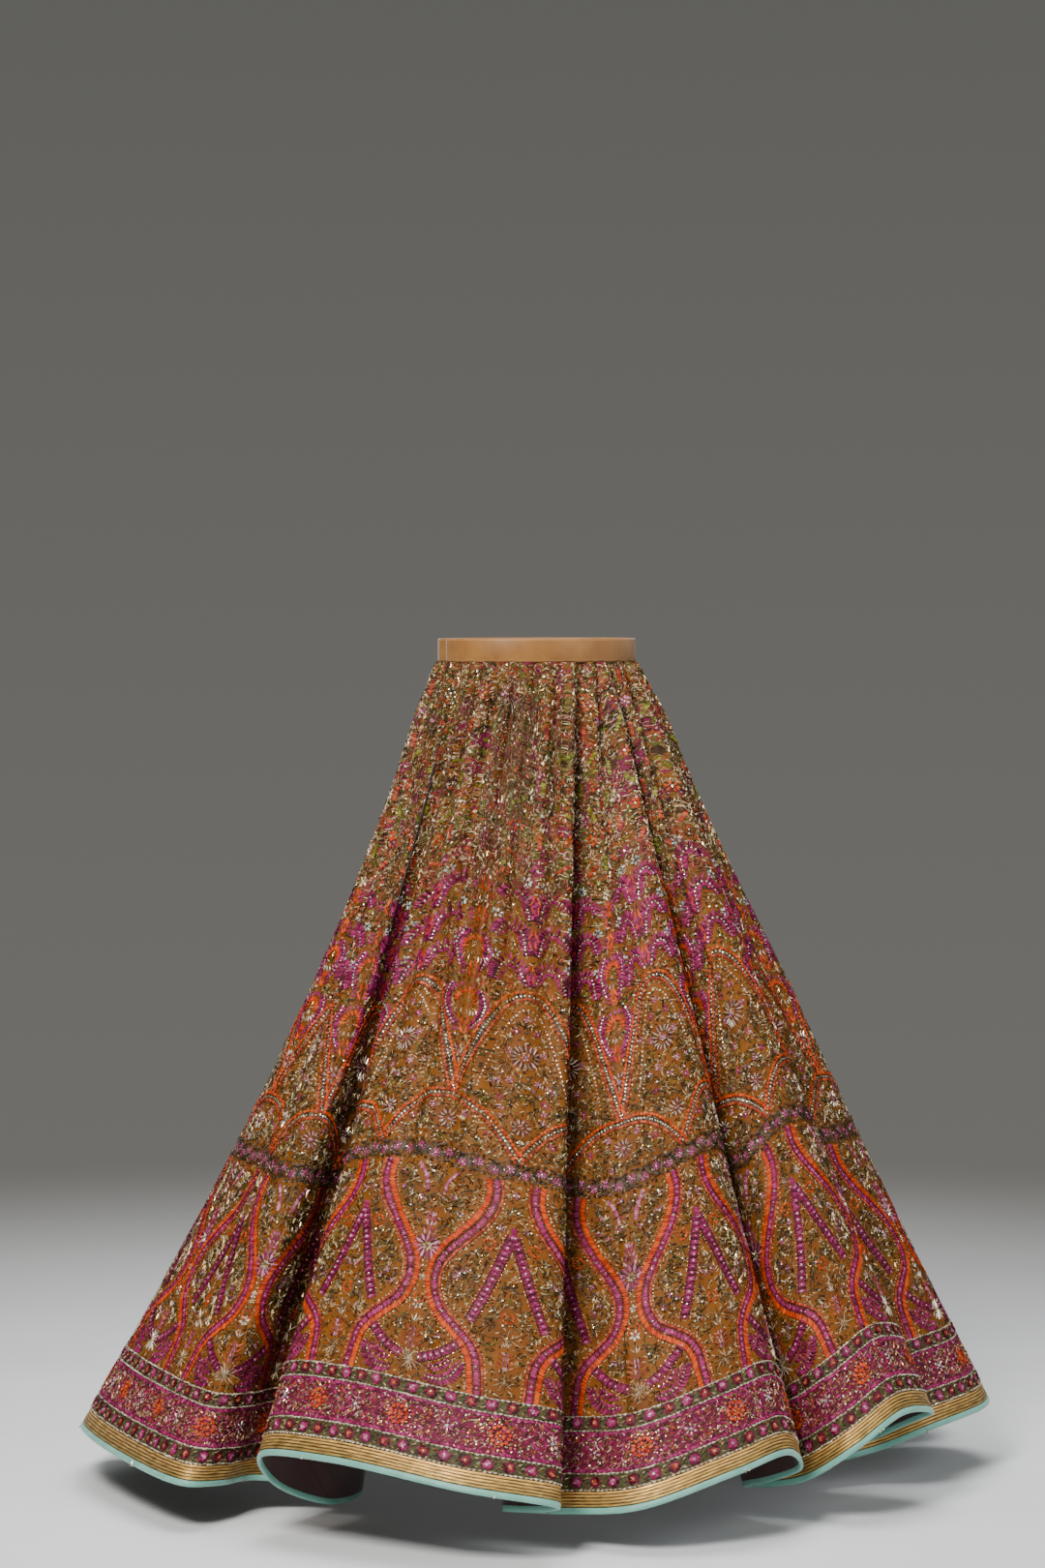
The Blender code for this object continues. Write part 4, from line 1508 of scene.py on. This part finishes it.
BORDER_STITCHES = (
    (0.00, (0.030, 0.022, 0.006)),
    (0.26, (0.230, 0.010, 0.066)),
    (0.56, (0.300, 0.050, 0.012)),
    (0.68, (0.360, 0.190, 0.070)),
    (0.88, (0.700, 0.560, 0.380)),
)
BORDER_STROKES = (
    # length, width, direction
    (0.0050, 0.0019, 0.4),
    (0.0046, 0.0018, 2.2),
)
# The shares of the border's cells left bare, in its green strips and between them.
BORDER_BARE = (0.90, 0.55)


def border_material():
    """The border's ground: dark green strips along both edges of a magenta band, under small stitches."""
    graph = Graph("border_cloth")
    places = graph.places()
    v = graph.put("SeparateXYZ", {0: places}).outputs[1]
    green = graph.cloudy(places, 60.0, 2.0, (0.034, 0.034, 0.012), (0.085, 0.074, 0.028))
    magenta = graph.cloudy(places, 60.0, 2.0, (0.070, 0.004, 0.017), (0.190, 0.009, 0.050))
    inside = graph.maths("GREATER_THAN", v, BAND_LOW)
    inside = graph.maths("MULTIPLY", inside, graph.maths("LESS_THAN", v, BAND_TOP))
    colour = graph.mix(inside, green, magenta)
    height = graph.maths("MULTIPLY", graph.noise(places, 2500.0, 0.0), 0.1)
    for number, (length, width, turn) in enumerate(BORDER_STROKES):
        bare = graph.span(inside, 0.0, 1.0, *BORDER_BARE)
        shift = (number * 2.3, number * 5.1)
        shown, sharp, shade = strokes(graph, places, (length, width), turn, shift, bare)
        colour = graph.mix(sharp, colour, graph.ramp(shade, BORDER_STITCHES, "CONSTANT"))
        height = graph.maths("MAXIMUM", height, shown)
    graph.bump(height, 0.8, 0.0010)
    return graph.finish(colour, 0.55, specular_ior_level=0.2)


def braid_material():
    """Gold braid: bright lines over reddish gaps, duller low down, with streaks along it."""
    graph = Graph("gold_braid_cloth")
    places = graph.places()
    up = graph.maths("SUBTRACT", graph.put("SeparateXYZ", {0: places}).outputs[1], TAPE_LOW)
    in_line = graph.maths("FRACT", graph.maths("DIVIDE", up, BRAID_LINE))
    away = graph.maths("ABSOLUTE", graph.maths("SUBTRACT", in_line, 0.5))
    uneven = graph.maths("SUBTRACT", graph.noise(places, 90.0), 0.5)
    worn = graph.maths("ADD", away, graph.maths("MULTIPLY", uneven, 0.25))
    bright = ((0.08, (0.92, 0.55, 0.16)), (0.30, (0.48, 0.24, 0.055)), (0.46, (0.065, 0.022, 0.005)))
    dull = ((0.08, (0.36, 0.25, 0.070)), (0.46, (0.070, 0.045, 0.010)))
    low = graph.span(up, 0.0, TAPE_TOP - TAPE_LOW, 0.85, 0.0)
    colour = graph.mix(low, graph.ramp(worn, bright), graph.ramp(worn, dull))
    streaks = graph.weave(places, (0.05, 1.0, 1.0), 1100.0, 3.0)
    colour = graph.mix(1.0, colour, graph.span(streaks, 0.38, 0.64, 0.50, 1.7), "MULTIPLY")
    graph.bump(streaks, 0.9, 0.0010)
    return graph.finish(colour, 0.40, 0.6)


def satin_material():
    """Aqua satin with the small puckers of a bound edge."""
    graph = Graph("aqua_satin_cloth")
    places = graph.places()
    colour = graph.cloudy(places, 30.0, 2.0, (0.120, 0.360, 0.290), (0.200, 0.480, 0.390))
    puckers = graph.weave(places, (1.0, 0.15, 1.0), 260.0, 2.0)
    weave = graph.weave(places, (1.0, 3.0, 1.0), 1500.0)
    graph.bump(graph.maths("ADD", puckers, graph.maths("MULTIPLY", weave, 0.2)), 0.35, 0.0008)
    return graph.finish(colour, 0.42, sheen_weight=0.3)


def lining_material():
    """Dark maroon lining silk: a faint weave, and long soft wrinkles."""
    graph = Graph("maroon_lining_cloth")
    places = graph.places()
    colour = graph.cloudy(places, 9.0, 3.0, (0.030, 0.008, 0.008), (0.060, 0.018, 0.016))
    wrinkles = graph.weave(places, (1.0, 0.12, 1.0), 45.0, 2.0)
    weave = graph.weave(places, (1.0, 0.5, 1.0), 1800.0)
    graph.bump(graph.maths("ADD", wrinkles, graph.maths("MULTIPLY", weave, 0.05)), 0.4, 0.003)
    return graph.finish(colour, 0.45, sheen_weight=0.2)


# How far apart the panels' places start, so that no two panels have the same small stitches.
MAP_SHIFT = 0.37


def metric_places(s, v, middle=0.0):
    """Places in metres on the cloth laid flat, from its middle line."""
    return np.stack([(s - middle) * cloth.ratio(s, v), v], axis=-1)


def kali_piece(number, material):
    """One panel: its face, turned in at its edges."""
    u = np.linspace(0.0, 1.0, KALI_COLUMNS + 1)
    u = np.concatenate([u[:1], u, u[-1:]])
    t = np.linspace(1.0, 0.0, KALI_ROWS + 1)[:, None]
    s = (number + u) * cloth.kali
    fall = cloth.fall_at(s)
    v = PIPING_TOP + (fall - PIPING_TOP) * t
    s = np.broadcast_to(s, v.shape)
    turned_in = np.zeros(len(u))
    turned_in[[0, -1]] = TURNING
    inset = SEAM_HALF_GAP * np.array([1] * 2 + [0] * (len(u) - 4) + [-1] * 2)
    points = cloth.at(s + inset, v, -turned_in)
    name = f"kali_{number + 1:02d}"
    flat = metric_places(s, v, (number + 0.5) * cloth.kali) + (number * MAP_SHIFT, 0.0)
    mesh = shell(name + "_cloth", points, u, t, flat.reshape(-1, 2))
    piece = dress(mesh, material, name)


def ring_piece(name, node, profile, material, to_waist=False):
    """A strip all round the skirt. Its profile is rows of height and distance out from the panels' face."""
    v, out = np.array(profile).T
    s = np.linspace(0.0, cloth.length, TRIM_COLUMNS + 1)
    grid_s, grid_v = (np.array(g) for g in np.broadcast_arrays(s, v[:, None]))
    if to_waist:
        # The rows over the border stretch until the last one is just under the waistband all round.
        stretch = np.clip((grid_v - BORDER_TOP) / (v[-1] - BORDER_TOP), 0.0, 1.0)
        grid_v += stretch * (cloth.fall_at(s) - LINING_GAP - v[-1])
    points = cloth.at(grid_s, grid_v, out[:, None])
    down = np.append(0.0, np.cumsum(np.hypot(np.diff(v), np.diff(out))))[:, None]
    flat_places = metric_places(grid_s, grid_v).reshape(-1, 2)
    mesh = shell(name, points, s / cloth.length, 1.0 - down / down[-1], flat_places)
    piece = dress(mesh, material, node)


def waistband_material():
    """Plain mustard silk, doubled over and topstitched along both edges."""
    graph = Graph("waistband_silk_cloth")
    places = graph.places()
    colour = graph.cloudy(places, 30.0, 3.0, (0.240, 0.095, 0.018), (0.340, 0.150, 0.032))
    split = graph.put("SeparateXYZ", {0: places})
    from_middle = graph.maths("ABSOLUTE", split.outputs[1])
    from_seam = graph.maths("ABSOLUTE", graph.maths("SUBTRACT", from_middle, STITCH_ROW))
    on_row = graph.maths("LESS_THAN", from_seam, STITCH_THICK)
    dash = graph.maths("FRACT", graph.maths("DIVIDE", split.outputs[0], STITCH_LONG))
    stitched = graph.maths("MULTIPLY", on_row, graph.maths("LESS_THAN", dash, STITCH_SHARE))
    colour = graph.mix(stitched, colour, STITCH_COLOUR)
    weave = graph.weave(places, (0.3, 1.0, 1.0), 2200.0)
    puckers = graph.weave(places, (1.0, 0.2, 1.0), 150.0, 2.0)
    height = graph.maths("ADD", graph.maths("MULTIPLY", weave, 0.15), puckers)
    height = graph.maths("ADD", height, graph.maths("MULTIPLY", stitched, 0.5))
    graph.bump(height, 0.5, 0.0006)
    return graph.finish(colour, 0.48, sheen_weight=0.2)


def steel_material():
    """Drawn steel: fine marks along the hook, a little dulled."""
    graph = Graph("hook_steel_metal")
    place = graph.put("TexCoord", {}).outputs["Object"]
    marks = graph.weave(place, (1.0, 1.0, 12.0), 900.0, 2.0)
    colour = graph.ramp(marks, ((CLOUD_LOW, (0.42, 0.42, 0.43)), (CLOUD_HIGH, (0.58, 0.58, 0.58))))
    graph.bump(marks, 0.2, 0.0002)
    return graph.finish(colour, graph.span(marks, low=0.24, high=0.42), 1.0)


def waistband_piece(material):
    """The band with rounded edges, from its start at bearing 0 round to the underlap at its end."""
    bearing = np.linspace(0.0, 360.0 + UNDERLAP_DEG, BAND_FACETS + 1)
    course = waist_oval(bearing)
    outward = unit(course / np.square((WAIST_HALF_WIDTH, WAIST_HALF_DEPTH)))
    step_in = np.clip((bearing - 360.0 + STEP_IN_DEG) / (STEP_IN_DEG - BAND_STEP_DEG), 0.0, 1.0)
    course = course - outward * (step_in * (BAND_WALL + CLOSURE_ROOM) + BAND_WALL / 2)[:, None]
    length = lengths(course)
    # Both ends are closed by drawing the section in to its middle line.
    course, outward = (np.concatenate([a[:1], a, a[-1:]]) for a in (course, outward))
    length = np.concatenate([length[:1], length, length[-1:]])
    width = np.ones(len(length))
    width[[0, -1]] = 0.0
    half = np.array(BAND_PROFILE)
    profile = np.concatenate([half, half[::-1] * (-1.0, 1.0)])
    xy = course + outward * (profile[:, :1] * width)[..., None]
    z = np.broadcast_to(-profile[:, 1:2], xy.shape[:2])
    points = np.concatenate([xy, z[..., None]], axis=2)
    down = lengths(profile)[:, None]
    metric = grid_places(length, -profile[:, 1:2] + BAND_HEIGHT / 2)
    mesh = shell("waistband_cloth", points, length / length[-1], 1.0 - down / down[-1], metric)
    piece = dress(mesh, material, "waistband")


def spread(first, last, count, out):
    """Profile rows at one distance out, at even steps from one height to another."""
    return [(v, out) for v in np.linspace(first, last, count)]


def trims():
    """The lining, the border, the gold tape and the rolled edge."""
    top = float(cloth.fall.min()) - LINING_GAP
    lining = [row for low, high, count in LINING_ROWS for row in spread(low, high or top, count, LINING_FACE)]
    ring_piece("lining_cloth", "lining", lining, lining_material(), True)
    border = [(BORDER_TOP, BORDER_FOLD)] + spread(BORDER_TOP, BORDER_LOW, 7, BORDER_FACE)
    ring_piece("border_cloth", "hem_border", border, border_material())
    tape = []
    for v in np.linspace(TAPE_TOP, TAPE_LOW, 3 * TAPE_RIDGES + 1):
        ridge = abs(np.sin(np.pi * (v - TAPE_LOW) / BRAID_LINE))
        tape.append((v, TAPE_FACE + TAPE_RIDGE * ridge))
    ring_piece("tape_cloth", "gold_tape", tape, braid_material())
    ring_piece("piping_cloth", "hem_piping", PIPING_PROFILE, satin_material())


def floor_material():
    """Pale floor, a painted pool of light round the skirt, that fades out into the backdrop's grey away from
    it.
    """
    graph = Graph("studio_floor")
    place = graph.put("TexCoord", {}).outputs["Object"]
    away = graph.put("VectorMath", {0: place}, operation="LENGTH").outputs["Value"]
    # The fade with distance from the skirt is painted falloff of light.
    reach = {0: away, 1: FLOOR_PALE_TO, 2: FLOOR_GONE_BY}
    fade = graph.put("MapRange", reach, interpolation_type="SMOOTHSTEP")
    colour = graph.cloudy(place, 3.0, 3.0, (0.84, 0.86, 0.88), (0.89, 0.91, 0.93))
    material = graph.finish(colour, 0.75)
    clear = graph.put("BsdfTransparent", {})
    both = graph.put("MixShader", {0: fade.outputs[0], 1: graph.shader.outputs[0], 2: clear.outputs[0]})
    graph.tree.links.new(both.outputs[0], graph.tree.nodes["Material Output"].inputs["Surface"])
    return material


def add_floor():
    square = np.array([(-1.0, -1.0, 0.0), (1.0, -1.0, 0.0), (1.0, 1.0, 0.0), (-1.0, 1.0, 0.0)])
    corners = FLOOR_HALF * square
    mesh = mesh_from("floor", corners, np.array([[0, 1, 2, 3]]), False)
    floor = link("floor", mesh, floor_material())
    floor.location.z = FLOOR


def add_world():
    """A grey backdrop, a little lighter towards the floor."""
    world = bpy.data.worlds.new("studio")
    world.use_nodes = True
    tree = world.node_tree
    place = tree.nodes.new("ShaderNodeTexCoord")
    split = tree.nodes.new("ShaderNodeSeparateXYZ")
    ramp = tree.nodes.new("ShaderNodeValToRGB")
    height = tree.nodes.new("ShaderNodeMapRange")
    height.inputs["From Min"].default_value = -BACKDROP_BLEND
    height.inputs["From Max"].default_value = BACKDROP_BLEND
    elements = ramp.color_ramp.elements
    elements[0].color = (*BACKDROP_LOW, 1.0)
    elements[1].color = (*BACKDROP_HIGH, 1.0)
    tree.links.new(place.outputs["Generated"], split.inputs[0])
    tree.links.new(split.outputs["Z"], height.inputs["Value"])
    tree.links.new(height.outputs[0], ramp.inputs["Fac"])
    tree.links.new(ramp.outputs["Color"], tree.nodes["Background"].inputs["Color"])
    bpy.context.scene.world = world


def add_light(name, place, size, power, colour):
    data = bpy.data.lights.new(name, "AREA")
    data.shape = "SQUARE"
    data.size = size
    data.energy = power
    data.color = colour
    light = bpy.data.objects.new(name, data)
    light.location = place
    light.rotation_euler = (LIT_MIDDLE - Vector(place)).to_track_quat("-Z", "Y").to_euler()
    bpy.context.scene.collection.objects.link(light)


def add_camera():
    data = bpy.data.cameras.new("camera")
    data.sensor_fit = "VERTICAL"
    data.sensor_height = SENSOR
    data.lens = SENSOR * FOCAL_PIXELS / PHOTO_HEIGHT
    data.shift_x = SHIFT_PIXELS[0] / PHOTO_HEIGHT
    data.shift_y = SHIFT_PIXELS[1] / PHOTO_HEIGHT
    camera = bpy.data.objects.new("camera", data)
    camera.location = TO_CAMERA * CAMERA_AWAY + Vector((0.0, 0.0, CAMERA_RISE))
    camera.rotation_euler = (-TO_CAMERA).to_track_quat("-Z", "Y").to_euler()
    bpy.context.scene.collection.objects.link(camera)
    bpy.context.scene.camera = camera


silk = silk_material()
for number in range(KALIS):
    kali_piece(number, silk)
trims()
waistband_piece(waistband_material())
steel = steel_material()
for name in ("waist_hook", "waist_bar"):
    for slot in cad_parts[name].material_slots:
        slot.material = steel
embroider()

add_floor()
add_world()
for name, right, near, up, size, power, colour in LIGHTS:
    add_light(name, TO_RIGHT * right + TO_CAMERA * near + Vector((0.0, 0.0, up)), size, power, colour)
add_camera()
